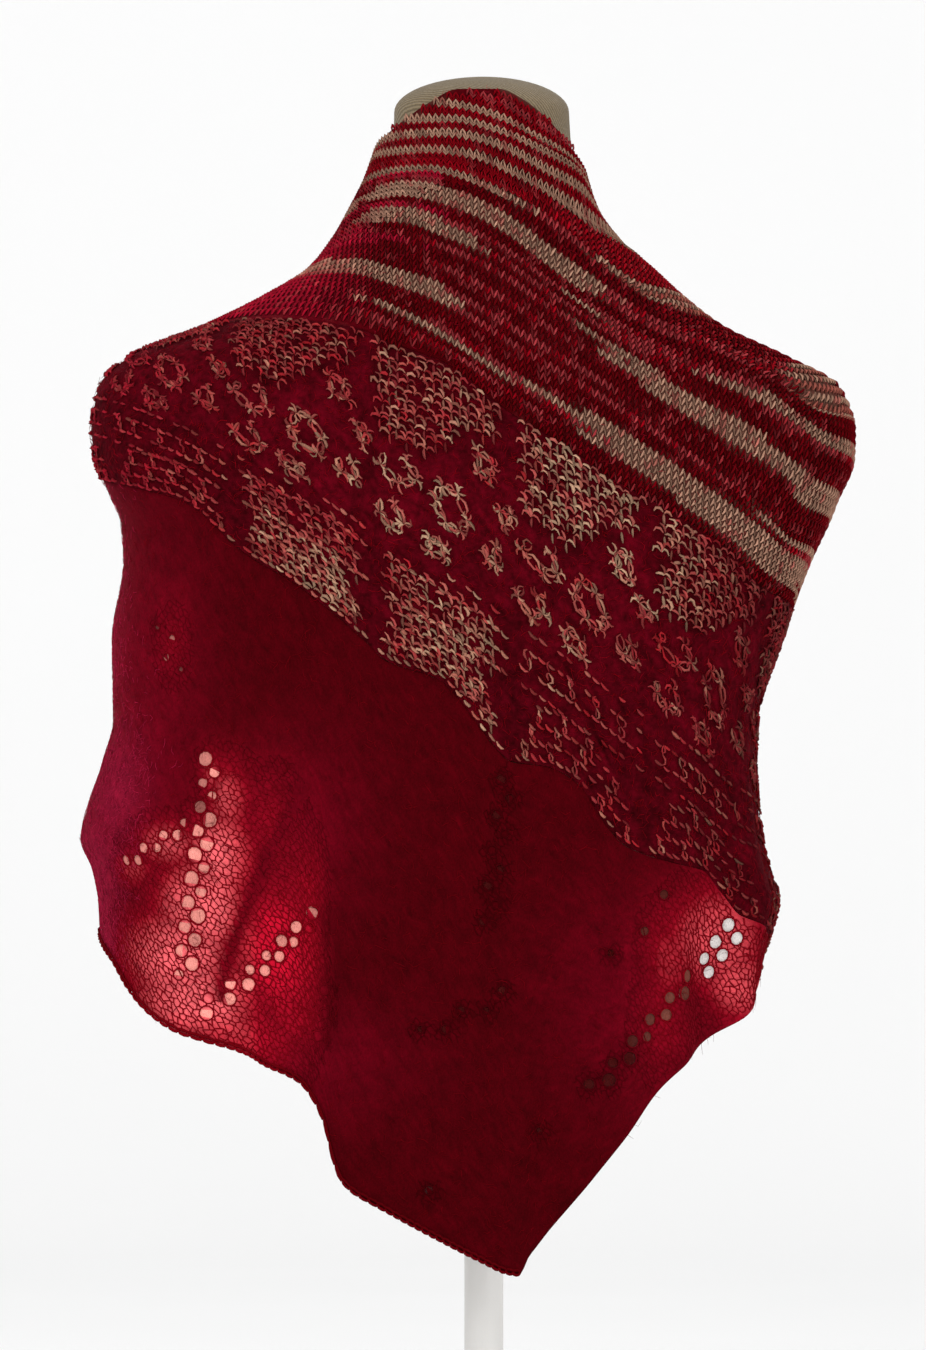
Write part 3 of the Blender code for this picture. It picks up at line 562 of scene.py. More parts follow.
def spin(name, strands, finish, radius, sides=4, uneven=0.08, seed=1):
    # strands: a list of (points, thickness, shades, links between points)
    starts = np.cumsum([0] + [len(group[0]) for group in strands])
    places, thickness, dyed = (np.concatenate([group[i] for group in strands]) for i in range(3))
    links = np.concatenate([group[3] + start for group, start in zip(strands, starts)])
    mesh = newMesh(name + "Paths", places, (), links.tolist())
    mesh.attributes.new("thickness", "FLOAT", "POINT").data.foreach_set("value", thickness.astype(np.float32))
    addShades(mesh, np.concatenate((dyed, np.ones((len(dyed), 1))), axis=1))
    source = addObject(name + "Paths", mesh)
    spinner = source.modifiers.new("yarn", "NODES")
    spinner.node_group = yarnTree
    values = {"Yarn radius": radius, "Sides": sides, "Uneven": uneven, "Seed": seed, "Finish": finish}
    for item in yarnTree.interface.items_tree:
        if item.in_out == "INPUT" and item.name in values:
            spinner[item.identifier] = values[item.name]
    graph = bpy.context.evaluated_depsgraph_get()
    spun = bpy.data.meshes.new_from_object(source.evaluated_get(graph), depsgraph=graph)
    bpy.data.objects.remove(source)
    spun.name = name
    print(name, "spun:", sum(len(face.vertices) - 2 for face in spun.polygons), "triangles")
    return addObject(name, spun)


def wall(name, outside, inside, shades, finish, kept=None):
    # a closed thin shell between two grids of points, less the squares that are not kept
    columns, rows = outside.shape[:2]
    half = columns * rows
    at = np.arange(half).reshape(columns, rows)
    corners = np.stack((at[:-1, :-1], at[:-1, 1:], at[1:, 1:], at[1:, :-1]), axis=-1)
    sheet = corners[kept if kept is not None else np.ones(corners.shape[:2], bool)]
    rims = np.concatenate([sheet[:, (i, (i + 1) % 4)] for i in range(4)])
    codes = rims[:, 0] * half + rims[:, 1]
    rims = rims[~np.isin(codes, rims[:, 1] * half + rims[:, 0])]
    sides = np.stack((rims[:, 1], rims[:, 0], half + rims[:, 0], half + rims[:, 1]), axis=-1)
    faces = np.concatenate((sheet, half + sheet[:, ::-1], sides))
    used, faces = np.unique(faces, return_inverse=True)
    points = np.concatenate((outside.reshape(-1, 3), inside.reshape(-1, 3)))[used]
    mesh = newMesh(name, points, faces.reshape(-1, 4).tolist())
    mesh.shade_smooth()
    mesh.materials.append(finish)
    shades = np.asarray(shades).reshape(half, 4)
    addShades(mesh, np.concatenate((shades, shades))[used])
    print(name, "laid:", 2 * len(mesh.polygons), "triangles")
    return addObject(name, mesh)


def evenTurns(start, end, step, chest=0.50):
    # turns whose places at the chest lie about one step apart
    fine = np.linspace(start, end, 800)
    points = clothOutside(fine, np.full(len(fine), chest))
    lengths = np.concatenate(([0.0], np.cumsum(np.linalg.norm(np.diff(points, axis=0), axis=1))))
    return np.interp(np.linspace(0.0, lengths[-1], int(lengths[-1] / step) + 1), lengths, fine)


def heightsDown(turns, tops, bottoms, rows):
    # heights that part each upright line of cloth into equal lengths
    share = np.linspace(0.0, 1.0, 80)
    fine = tops[:, None] + (bottoms - tops)[:, None] * share
    points = clothOutside(turns[:, None], fine)
    steps = np.linalg.norm(np.diff(points, axis=1), axis=-1)
    lengths = np.concatenate((np.zeros((len(turns), 1)), np.cumsum(steps, axis=1)), axis=1)
    wanted = np.linspace(0.0, 1.0, rows + 1)
    return np.array([np.interp(wanted * depth[-1], depth, line) for depth, line in zip(lengths, fine)])


def between(turns, heights, top, bottom, topMargin, bottomMargin):
    # which places lie on the section between two edges, clear of its ends
    upper = edgeHeight(top, turns) - topMargin
    lower = edgeHeight(bottom, turns) + bottomMargin
    return (heights < upper) & (heights > lower) & (np.abs(turns) < cloth["frontEdge"] - 0.4)


# Stripes, charted: row, from stitch, to stitch, dye. A later line lies over an earlier one, and
# what no line names is dark.
stripeChart = (
    (-4, -10, 60, "tan"), (-3, -60, 60, "red"), (-2, -60, 60, "rose"), (-1, -60, 60, "red"),
    (0, -60, 60, "tan"), (1, -60, 60, "red"), (2, -60, 60, "tan"), (3, -60, 60, "red"), (4, -60, 60, "tan"),
    (5, -60, 60, "red"), (6, -60, 60, "tan"), (7, -60, 60, "red"), (8, -60, 60, "red"),
    (9, -40, 6, "tan"), (9, 6, 14, "rose"), (9, 14, 60, "tan"),
    (10, -14, -4, "pink"), (11, -16, -5, "rose"),
    (12, -14, 46, "tan"), (12, 16, 36, "rose"), (13, -24, 15, "tan"), (13, 15, 36, "rose"),
    (13, 37, 60, "tan"), (14, -24, -15, "tan"), (14, -14, 13, "tan"), (15, -24, -16, "pale"),
    (16, -20, -5, "pink"), (16, 14, 25, "rose"), (17, -14, -4, "tan"), (17, -4, 10, "rose"),
    (17, 10, 15, "tan"), (17, 16, 33, "rose"), (17, 33, 60, "tan"), (18, -16, 0, "tan"),
    (18, 15, 26, "rose"), (18, 26, 60, "tan"), (19, -18, 0, "tan"), (19, 0, 22, "rose"),
    (19, 34, 60, "rose"), (20, -24, -14, "rose"),
    (21, -24, -12, "pink"), (21, -9, 12, "rose"), (21, 12, 22, "tan"), (22, -20, -8, "pink"),
    (22, 16, 34, "tan"), (23, -22, -12, "pink"), (23, 14, 60, "tan"), (24, -7, 14, "rose"),
    (24, 18, 60, "tan"), (25, 40, 60, "tan"), (25, -24, -20, "rose"), (26, -24, -20, "tan"),
    (27, -26, -3, "tan"), (27, -3, 16, "rose"), (28, -26, -2, "tan"), (29, -26, -4, "tan"),
    (29, -4, 34, "rose"), (30, 34, 60, "tan"), (31, 40, 60, "rose"), (32, 12, 60, "tan"),
    (33, -6, 5, "rose"), (33, 5, 60, "tan"), (34, -14, 4, "tan"), (34, 4, 15, "rose"),
    (34, 15, 60, "tan"), (35, 12, 46, "tan"), (36, -16, 8, "rose"), (36, 22, 60, "tan"),
    (37, 46, 60, "tan"),
)
stripeTableSize = {
    "firstRow": -14,
    "rows": 60,
    "firstStitch": -120,
    "stitches": 240,
    "openLeft": -24,     # a line that starts here or further left runs on to the front edge
    "openRight": 60,     # and so does one that ends here or further right
}


def stripeNumbers():
    # the dye's number for each row and stitch
    names = list(dyes)
    size = stripeTableSize
    table = np.full((size["rows"], size["stitches"]), names.index("dark"))
    for row, start, end, name in stripeChart:
        first = start - size["firstStitch"] if start > size["openLeft"] else 0
        last = end - size["firstStitch"] if end < size["openRight"] else size["stitches"]
        table[row - size["firstRow"], first:last] = names.index(name)
    return table, np.array([dye(name) for name in names])


stripeTable, dyeTable = stripeNumbers()
stripeDye = {
    "wander": 0.9,          # stitches by which a length of colour strays
    # pink haze to the left: from stitch, stitches to its full strength, that strength, from row, rows to it
    "haze": (-12.0, 14.0, 0.85, 8.0, 5.0),
    "clearRows": ((11.5, 15.5), (25.5, 28.5)),
    "clearShare": 0.35,     # of the haze there
    "broken": 0.3,          # share of rose stitches that turned out red
    "odd": 0.16,            # share of all stitches that turned out rosier
    "oddMix": 0.55,
    "uneven": 0.14,
}


def stripeShade(rows, stitches, random):
    # the dye of each stitch, with the edges of its lengths of colour a little ragged
    size, shape = stripeTableSize, np.shape(stitches)
    wander = random.normal(0.0, stripeDye["wander"], shape)
    column = np.round(stitches + wander).astype(int) - size["firstStitch"]
    column = np.clip(column, 0, size["stitches"] - 1)
    row = np.clip(np.round(rows).astype(int) - size["firstRow"], 0, size["rows"] - 1)
    number = stripeTable[row, column]
    shade = dyeTable[number]
    fromStitch, overStitches, most, fromRow, overRows = stripeDye["haze"]
    haze = np.clip((fromStitch - stitches) / overStitches, 0.0, most)
    haze = haze * np.clip((rows - fromRow) / overRows, 0.0, 1.0)
    for above, below in stripeDye["clearRows"]:
        haze = haze * np.where((rows > above) & (rows < below), stripeDye["clearShare"], 1.0)
    shade = shade * (1 - haze[..., None]) + dye("pink") * haze[..., None]
    broken = (number == list(dyes).index("rose")) & (random.random(shape) < stripeDye["broken"])
    shade = np.where(broken[..., None], dye("red"), shade)
    odd = (random.random(shape) < stripeDye["odd"])[..., None]
    shade = np.where(odd, (1 - stripeDye["oddMix"]) * shade + stripeDye["oddMix"] * dye("rose"), shade)
    return shade * random.normal(1.0, stripeDye["uneven"], shape)[..., None]


def stitchGrid(firstRow, lastRow, pitch, stitchReach=130):
    across = np.arange(-stitchReach, stitchReach, pitch)
    rows, stitches = np.meshgrid(np.arange(firstRow, lastRow + 1), across)
    return rows.ravel().astype(float), stitches.ravel().astype(float)


def ply(rows, stitches, alongOffsets, rowOffsets, lifts):
    # paths that start from stitch places and run through the same offsets
    turns, heights = stitchPlace(stitches[:, None] + alongOffsets, rows[:, None] + rowOffsets)
    return clothPoints(turns, heights, lifts)


stockingStitch = {
    "pitch": 0.80,
    "radius": 0.00086,
    "lift": 0.0004,
    "rowSpread": 0.0050,     # height of a row, where short rows fill a wider one
    # side of the stitch, in, middle and out along the row, light, thickness
    "legs": ((-1, 0.06, 0.20, 0.34, 0.60, 0.85), (1, 0.00, 0.21, 0.41, 1.16, 1.10)),
    # from a leg's lower end to its upper one: rows, lifts, thickness
    "legRows": (0.55, 0.0, -0.62),
    "legLifts": (-1.2, 1.0, -0.8),
    "legThickness": (0.5, 1.0, 0.6),
    "lean": 0.6,             # lifts by which the right leg lies higher and the left one lower
    "longest": 0.0064,
    "rows": (2, 60),
    "edgeMargins": (-0.0012, 0.0),
    "betweenRed": 0.6,       # how red the short rows are
    "shell": (30, 0.008),    # rows and step of the shell under the yarn
    "shellShare": 0.30,      # of the stitches' colour that it has
}


def shortRows(rows, stitches):
    # where rows spread apart over the shoulder, more of them are knitted between: rows and stitches of all,
    # the row that each fills, its share of that row, and whether it is one of those between
    above = clothOutside(*stitchPlace(stitches, rows - 0.5))
    below = clothOutside(*stitchPlace(stitches, rows + 0.5))
    spread = np.linalg.norm(above - below, axis=1) / stockingStitch["rowSpread"]
    copies = np.clip(np.round(spread), 1, 4).astype(int)
    index = np.repeat(np.arange(len(rows)), copies)
    number = np.arange(len(index)) - np.repeat(np.cumsum(copies) - copies, copies)
    share = 1.0 / copies[index]
    return rows[index] + (number + 0.5) * share - 0.5, stitches[index], rows[index], share, number % 2 == 1


def vStitches(rows, stitches, shades, rowShare, stitch=stockingStitch):
    # two slanting legs to each stitch, of which the one that leans right stands in the light
    strands = []
    for side, inner, middle, outer, light, thick in stitch["legs"]:
        along = side * np.array([inner, middle, outer])
        points = ply(rows, stitches, along, rowShare[:, None] * np.array(stitch["legRows"]),
                     stitch["lift"] * (np.array(stitch["legLifts"]) + stitch["lean"] * side))
        middles = points[:, 1:2]
        reach = np.linalg.norm(points[:, 2] - points[:, 0], axis=1)
        points = middles + (points - middles) * np.clip(stitch["longest"] / reach, 0.0, 1.0)[:, None, None]
        legShades = shades * light * random.normal(1.0, 0.10, (len(shades), 1))
        strands.append(paths(points, thick * np.array(stitch["legThickness"]), legShades[:, None, :]))
    return strands


def purlBumps(rows, stitches, shades):
    # the interlocked arcs of a garter ridge
    strands = []
    for along, down, lifts, light in garter["arcs"]:
        along = garter["pitch"] * np.array(along)
        points = ply(rows, stitches, along, np.array(down), np.array(lifts) * 0.001)
        strands.append(paths(points, np.array(garter["thickness"]), shades[:, None, :] * light))
    return strands


def backing(name, top, bottom, rows, step, finish, shadeAt, outer=-0.0008, inner=-0.0016):
    # the thin shell under the yarn of one section
    turns = evenTurns(-cloth["frontEdge"], cloth["frontEdge"], step)
    heights = heightsDown(turns, edgeHeight(top, turns) - seams["gap"], edgeHeight(bottom, turns), rows)
    stitches, rowsAt = rowPlace(turns, heights)
    grid = np.broadcast_to(turns[:, None], heights.shape)
    return wall(name, clothPoints(grid, heights, outer), clothPoints(grid, heights, inner),
                shadeAt(rowsAt, stitches), finish)


# Loose fibres over each section
fluff = {
    "stripeFuzz": {"count": 3200, "seed": 21, "length": 0.0040, "lift": 0.0007, "radius": 0.00011},
    "mosaicFuzz": {"count": 6500, "seed": 22, "length": 0.0050, "lift": 0.0007, "radius": 0.00015},
    "netFuzz": {"count": 4000, "seed": 23, "length": 0.0055, "lift": 0.0003, "radius": 0.00011},
    "edgeFuzz": {"count": 64000, "seed": 24, "length": 0.0046, "lift": 0.0003, "radius": 0.00013},
}


def fuzz(name, top, bottom, shade, end=cloth["frontEdge"], share=None):
    # loose curled fibres that lie on the knitting between two edges, fewer where a share is given
    count = fluff[name]["count"]
    random = np.random.default_rng(fluff[name]["seed"])
    first, last = 0.5 - cloth["frontEdge"], end - 0.5
    line = evenTurns(first, last, 0.002)
    turns = line[random.integers(0, len(line), 2 * count)] + random.normal(0.0, 0.4, 2 * count)
    turns = np.clip(turns, first, last)
    upper = edgeHeight(top, turns)
    room = upper - edgeHeight(bottom, turns)
    chosen = random.random(2 * count) < room / room.max()
    turns, room, upper = turns[chosen][:count], room[chosen][:count], upper[chosen][:count]
    heights = upper - room * random.uniform(0.005, 0.995, len(turns))
    if share:
        chosen = random.random(len(turns)) < share(clothOutside(turns, heights))
        turns, heights = turns[chosen], heights[chosen]
    base = clothPoints(turns, heights, -0.0002)
    normal = clothNormal(turns, heights)
    side = np.cross(normal, [0.0, 0.0, 1.0])
    upward = np.cross(side, normal)
    heading = random.uniform(0.0, 2 * math.pi, len(turns))
    curl = heading + random.normal(0.0, 0.9, len(turns))
    reach = fluff[name]["length"] * random.uniform(0.5, 1.3, (len(turns), 1))
    rise = fluff[name]["lift"] * random.uniform(0.3, 1.5, (len(turns), 1))
    setsOut = side * np.cos(heading)[:, None] + upward * np.sin(heading)[:, None]
    curlsTo = side * np.cos(curl)[:, None] + upward * np.sin(curl)[:, None]
    middle = base + 0.45 * reach * setsOut + rise * normal
    tip = middle + 0.55 * reach * curlsTo + 0.1 * rise * normal
    shades = shade * random.normal(1.0, 0.2, (len(turns), 1))
    strands = paths(np.stack((base, middle, tip), axis=1), np.array([1.0, 0.9, 0.5]), shades[:, None, :])
    return spin(name, [strands], mohairPaint, fluff[name]["radius"], 3, 0.0, fluff[name]["seed"])


def withAlpha(shade, alpha=1.0):
    # colours with a fourth value, how solid they are
    return np.concatenate((shade, np.broadcast_to(alpha, shade.shape[:-1])[..., None]), axis=-1)


def backShade(rows, stitches, share):
    # painted shade of the dark red depths between stitches, with some of their colour
    return share * stripeShade(rows, stitches, random) + (0.75 - share) * dye("depthShade")


# Collar: garter ridges round the neck
garter = {
    "pitch": 0.72,
    "radius": 0.00074,
    "rows": (-14, 26),
    # an arc over the ridge and one under it: along in bumps, down in rows, lift in millimetres, light
    "arcs": (
        ((0.0, 0.22, 0.5, 0.78, 1.0), (0.50, -0.10, -0.48, -0.10, 0.50), (-0.4, 0.9, 1.2, 0.9, -0.4), 1.0),
        ((0.42, 0.68, 0.95, 1.2, 1.45), (-0.15, 0.42, 0.70, 0.42, -0.15), (-0.6, 0.5, 0.9, 0.5, -0.6), 0.8),
    ),
    "thickness": (0.5, 0.95, 1.0, 0.95, 0.5),
    "edgeMargin": 0.0012,    # how far the bumps stay under the neck edge, and reach over the next section
    "valleyLight": 0.85,     # of every other row
    "shell": (12, 0.008),
    "shellShare": 0.12,
}
random = np.random.default_rng(11)
rows, stitches = stitchGrid(*garter["rows"], garter["pitch"])
turns, heights = stitchPlace(stitches + garter["pitch"] / 2, rows)
inCollar = between(turns, heights, "neck", "garter", garter["edgeMargin"], -garter["edgeMargin"])
rows, stitches = rows[inCollar], stitches[inCollar]
shades = stripeShade(rows, stitches, random)
shades = shades * np.where(rows % 2 == 0, 1.0, garter["valleyLight"])[:, None]
collarYarn = spin("collarYarn", purlBumps(rows, stitches, shades), woolPaint, garter["radius"], 3)
collarShell = backing("collarShell", "neck", "garter", *garter["shell"], woolPaint,
                      lambda row, stitch: withAlpha(backShade(row, stitch, garter["shellShare"])))

# Stripes: stocking stitch in shaded yarn
random = np.random.default_rng(12)
rows, stitches = stitchGrid(*stockingStitch["rows"], stockingStitch["pitch"])
turns, heights = stitchPlace(stitches, rows)
inStripes = between(turns, heights, "garter", "stripes", *stockingStitch["edgeMargins"])
rows, stitches = rows[inStripes], stitches[inStripes]
rows, stitches, rowsAt, rowShare, inBetween = shortRows(rows, stitches)
shades = stripeShade(rowsAt, stitches, random)
redder = (1 - stockingStitch["betweenRed"]) * shades + stockingStitch["betweenRed"] * dye("red")
shades = np.where(inBetween[:, None], redder, shades)
legs = vStitches(rows, stitches, shades, rowShare)
stripeYarn = spin("stripeYarn", legs, woolPaint, stockingStitch["radius"], 3, 0.1, 2)
stripeShell = backing("stripeShell", "garter", "stripes", *stockingStitch["shell"], woolPaint,
                      lambda row, stitch: withAlpha(backShade(row, stitch, stockingStitch["shellShare"])))
stripeFuzz = fuzz("stripeFuzz", "neck", "stripes", dye("pink"))
print("stripes knitted:", len(rows), "stitches")

# Mosaic: a fuzzy ground with slipped stitches and purl bumps in lighter yarn
mosaic = {
    "repeat": 17.0,          # stitches from one plain spine to the next
    "spine": 3.5,            # where one of them runs
    "repeats": (-7, 6),
    "yarnRadius": 0.00072,
    "meshWidth": 2.0,        # stitches from tuft to tuft
    "meshRise": 1.33,        # rows from one line of tufts to the next
    "wedgeTop": 38.9,
    "wedgeLevels": 10,
    "wedgeShape": ((0, 3, 9), (14.8, 13.4, 5.6)),   # level, width of the mesh there
    "patchLevels": 5,
    # strokes of a tuft: from stitch, from row, to stitch, to row, bow, share of the tufts with it, brightness
    "tuft": ((0.00, 0.05, -0.50, -0.95, 0.30, 1.0, 1.05), (0.08, 0.12, 1.00, 0.12, -0.30, 1.0, 1.1),
             (-0.05, 0.16, -1.05, 0.62, 0.26, 0.9, 1.0), (0.04, 0.35, 0.12, 1.62, 0.05, 0.9, 0.7)),
    # arms from a knot: bow, from and to as shares of the way to the next, share of the knots that have it
    "arms": ((0.26, -0.08, 0.56, 1.0), (-0.24, 0.02, 0.50, 0.75)),
    "starAngles": (5.0, 62.0, 128.0, 184.0, 240.0, 305.0),
    "starReach": (0.0038, 0.0060),
    "wedgeFrom": 1.5,
    # rings: middle in stitches from the spine, middle row, half-width, half-height, knots, 1 if open on top
    "rings": ((13.6, 48.6, 1.1, 1.7, 4, 0), (16.2, 53.2, 0.8, 1.2, 3, 0), (3.4, 55.6, 2.2, 1.9, 5, 1),
              (9.6, 57.2, 1.9, 2.7, 6, 0), (14.4, 59.4, 1.0, 1.6, 4, 1), (2.4, 62.2, 1.5, 1.8, 5, 1),
              (7.6, 63.6, 1.3, 1.2, 4, 0)),
    "dashRows": (66.3, 68.8, 71.4, 73.7),
    "dashShares": (0.72, 0.8, 0.88, 0.8),
    "dashFrom": 1.5,
    "dashWidth": 14.8,
    "dashStep": 1.12,
    # a dash: stitches from middle to end, rows up to the first end, rows down to the last, bow, thickness
    "dash": (0.42, 0.10, 0.12, 0.18, 1.25),
    "meshyRepeats": (-2, -1),               # repeats whose lower rows close up into mesh
    "patches": ((2.4, 5.0), (8.6, 6.6)),    # from stitch, width of the mesh between the rows of dashes
    "hemRows": (0.7, 2.8, 5.0, 7.3),        # rows above the section's lower edge
    # posts between the rows of dashes: from stitch, width, step, count, height in rows
    "posts": (2.0, 14.0, 2.8, 5, 2.2),
    "hemPostRows": 1.9,
    # light lengths of the yarn: middle stitch, half-width, between two rows, strength
    "light": ((16, 11, 0, 53, 1.15), (-6, 12, 0, 53, 0.30), (-9, 14, 53, 65, 1.0), (12, 8, 53, 65, 0.45),
              (-3, 8, 65, 200, 0.7), (-21, 7, 73, 200, 0.8)),
    # pink haze to the left, dimness to the right: from stitch, stitches to its full strength, that strength
    "pinkLeft": (-33, 18, 0.7),
    "dimRight": (24, 10, 0.35),
    # the ground: its light, how much darker it is by the spines, and its painted shade between the strokes in
    # the mesh and among the dashes
    "groundLight": 1.08,
    "spineDark": 0.12,
    "spineWidth": 1.1,
    "meshPaintedShade": 0.34,
    "dashPaintedShade": 0.16,
    "shell": (48, 0.006),
    "shellLift": -0.0003,
}
random = np.random.default_rng(13)
stitchSize = np.array([gauge["stitchWidth"], gauge["rowHeight"]])


def lowerEdgeRows():
    # the row on which the mosaic ends, for each half stitch
    stitches = np.arange(-130.0, 110.0, 0.5)
    rows = np.arange(60.0, 110.0, 0.25)
    turns, heights = stitchPlace(stitches[:, None], rows[None, :])
    inside = heights > edgeHeight("mosaic", turns)
    return stitches, rows[np.clip(inside.sum(axis=1) - 1, 0, len(rows) - 1)]


edgeStitches, edgeRows = lowerEdgeRows()


def strokeShade(stitches, rows):
    # tan where the yarn's light lengths fall, and rose or bright red elsewhere
    light = np.zeros(stitches.shape)
    for middle, halfWidth, above, below, strength in mosaic["light"]:
        there = (rows > above) & (rows < below)
        light += strength * np.exp(-(((stitches - middle) / halfWidth) ** 2)) * there
    drift = 0.5 * np.sin(1.9 * stitches + 0.7 * rows) + 0.5 * np.sin(0.8 * stitches - 1.5 * rows + 2.0)
    light = light + 0.22 * drift + random.normal(0.0, 0.22, stitches.shape)
    light = np.clip(light, 0.0, 1.0)[..., None]
    red = np.clip(0.25 - 0.5 * drift + random.normal(0.0, 0.25, stitches.shape), 0.0, 1.0)[..., None]
    low = dye("rose") * (1 - 0.6 * red) + dye("flame") * 0.6 * red
    pale = np.where(random.random(stitches.shape + (1,)) < 0.4, dye("rosy"), dye("pale"))
    shade = pale * light + low * (1 - light)
    first, reach, most = mosaic["pinkLeft"]
    haze = np.clip((first - stitches) / reach, 0.0, most)[..., None]
    first, reach, most = mosaic["dimRight"]
    dim = 1.0 - most * np.clip((stitches - first) / reach, 0.0, 1.0)[..., None]
    shade = (shade * (1 - haze) + dye("pink") * haze) * dim
    return shade * random.uniform(0.45, 1.2, stitches.shape)[..., None]


stroke = {
    # from its start to its end: share of the way, share of the bow, lift in millimetres, thickness
    "along": (0.0, 0.3, 0.7, 1.0),
    "arch": (0.0, 1.0, 1.0, 0.0),
    "lifts": (-0.2, 0.6, 0.5, -0.2),
    "thickness": (0.6, 1.15, 1.05, 0.5),
    "shortest": 0.0005,
    "edgeMargins": (0.0002, 0.0004),
}


def strokes(starts, ends, bow, spread=0.10, thick=1.0, bright=1.0):
    # short bowed lengths of yarn between places counted in stitches and rows
    starts = starts + random.normal(0.0, spread, starts.shape)
    ends = ends + random.normal(0.0, spread, ends.shape)
    run = (ends - starts) * stitchSize
    length = np.linalg.norm(run, axis=1)
    side = np.stack((-run[:, 1], run[:, 0]), axis=1)
    bow = bow * random.normal(1.0, 0.35, len(starts))
    places = starts[:, None] + (ends - starts)[:, None] * np.array(stroke["along"])[:, None]
    places = places + (bow[:, None] * np.array(stroke["arch"]))[..., None] * side[:, None] / stitchSize
    turns, heights = stitchPlace(places[..., 0], places[..., 1])
    on = between(turns, heights, "stripes", "mosaic", *stroke["edgeMargins"]).all(axis=1)
    on &= length > stroke["shortest"]
    count = on.sum()
    lifts = np.array(stroke["lifts"]) * 0.001 + random.uniform(0.0, 0.0005, (count, 1))
    thickness = thick * np.array(stroke["thickness"]) * random.uniform(0.8, 1.15, (count, 1))
    shades = bright * strokeShade(starts[on, 0], starts[on, 1])
    return paths(clothPoints(turns[on], heights[on], lifts), thickness, shades[:, None, :])


def dashes(stitches, rows):
    # purl bumps that lie along a row and sag a little
    half, up, down, bow, thick = mosaic["dash"]
    places = np.stack((stitches, rows), axis=1)
    return [strokes(places - (half, up), places + (half, down), bow, 0.08, thick)]


def arms(starts, ends):
    # short bowed lengths from one place part of the way to another, most of them doubled
    run = ends - starts
    made = []
    for bow, first, last, share in mosaic["arms"]:
        shift = random.normal(0.0, 0.11, starts.shape)
        used = random.random(len(starts)) < share
        fromPlaces, toPlaces = starts + first * run + shift, starts + last * run + shift
        made.append(strokes(fromPlaces[used], toPlaces[used], bow, 0.05))
    return made


def linked(starts, ends):
    # two places whose arms meet half way
    return arms(starts, ends) + arms(ends, starts)


def posts(stitches, rows, drop):
    # slipped stitches that stand between two rows
    places = np.stack((stitches, rows), axis=1)
    return linked(places, places + (0.0, drop))


def tufts(places):
    # where a slipped stitch gathers the yarn: a curl, an arm either way and a stem
    made = []
    for fromStitch, fromRow, toStitch, toRow, bow, share, bright in mosaic["tuft"]:
        chosen = places[random.random(len(places)) < share]
        chosen = chosen + random.normal(0.0, 0.06, chosen.shape)
        starts, ends = chosen + (fromStitch, fromRow), chosen + (toStitch, toRow)
        made.append(strokes(starts, ends, bow, 0.07, 1.15, bright))
    return made


def stars(places):
    # short bowed arms that stand out from each place where the yarn gathers
    made = []
    for angle in mosaic["starAngles"]:
        heading = np.radians(angle + random.normal(0.0, 20.0, len(places)))
        way = np.stack((np.cos(heading), np.sin(heading)), axis=1) / stitchSize
        reach = random.uniform(*mosaic["starReach"], (len(places), 1))
        bow = 0.27 * random.choice((-1, 1), len(places))
        made.append(strokes(places + 0.06 * reach * way, places + reach * way, bow, 0.05, 1.12))
    return made


def mesh(left, top, widths):
    # open mesh: lines of tufts, each over the gaps of the line above
    made = []
    for level, width in enumerate(widths):
        across = left + mosaic["meshWidth"] * np.arange(0.5 * (level % 2), width / mosaic["meshWidth"])
        places = np.stack((across, np.full(len(across), top + level * mosaic["meshRise"])), axis=1)
        made += tufts(places + random.normal(0.0, 0.12, places.shape))
    return made


def ring(middle, row, wide, tall, count, openTop):
    # starry knots in a ring; an open one lacks the knot to the left of its top
    turn = np.radians(360.0 * (np.arange(count) + 0.5) / count)
    across = middle + wide * np.sin(turn) - 0.06 * tall * np.cos(turn)
    places = np.stack((across, row - tall * np.cos(turn)), axis=1)
    places = places + random.normal(0.0, 0.16, places.shape)
    run = np.roll(places, -1, axis=0) - places
    if openTop:
        places, run = places[:-1], run[:-1]
    made = stars(places)
    for bow in (-0.30, 0.16):
        made.append(strokes(places + 0.15 * run, places + 0.85 * run, bow, 0.08, 1.1))
    return made


def groundShade(rows, stitches):
    # mottled, darker in the plain lines that part the motifs, and with painted shade between the strokes in
    # the mesh and among the dashes
    within = (stitches - mosaic["spine"]) % mosaic["repeat"]
    fromSpine = np.minimum(within, mosaic["repeat"] - within)
    level = (rows - mosaic["wedgeTop"]) / mosaic["meshRise"]
    meshEnd = 2.5 + np.interp(level, *mosaic["wedgeShape"])
    inMesh = (level < mosaic["wedgeLevels"]) & (within > 1) & (within < meshEnd)
    bySpine = np.exp(-((fromSpine / mosaic["spineWidth"]) ** 2))
    light = mosaic["groundLight"] - mosaic["spineDark"] * bySpine - mosaic["meshPaintedShade"] * inMesh
    light = light - mosaic["dashPaintedShade"] * (rows > mosaic["dashRows"][0])
    return dye("ground") * (light * random.normal(1.0, 0.20, rows.shape))[..., None]


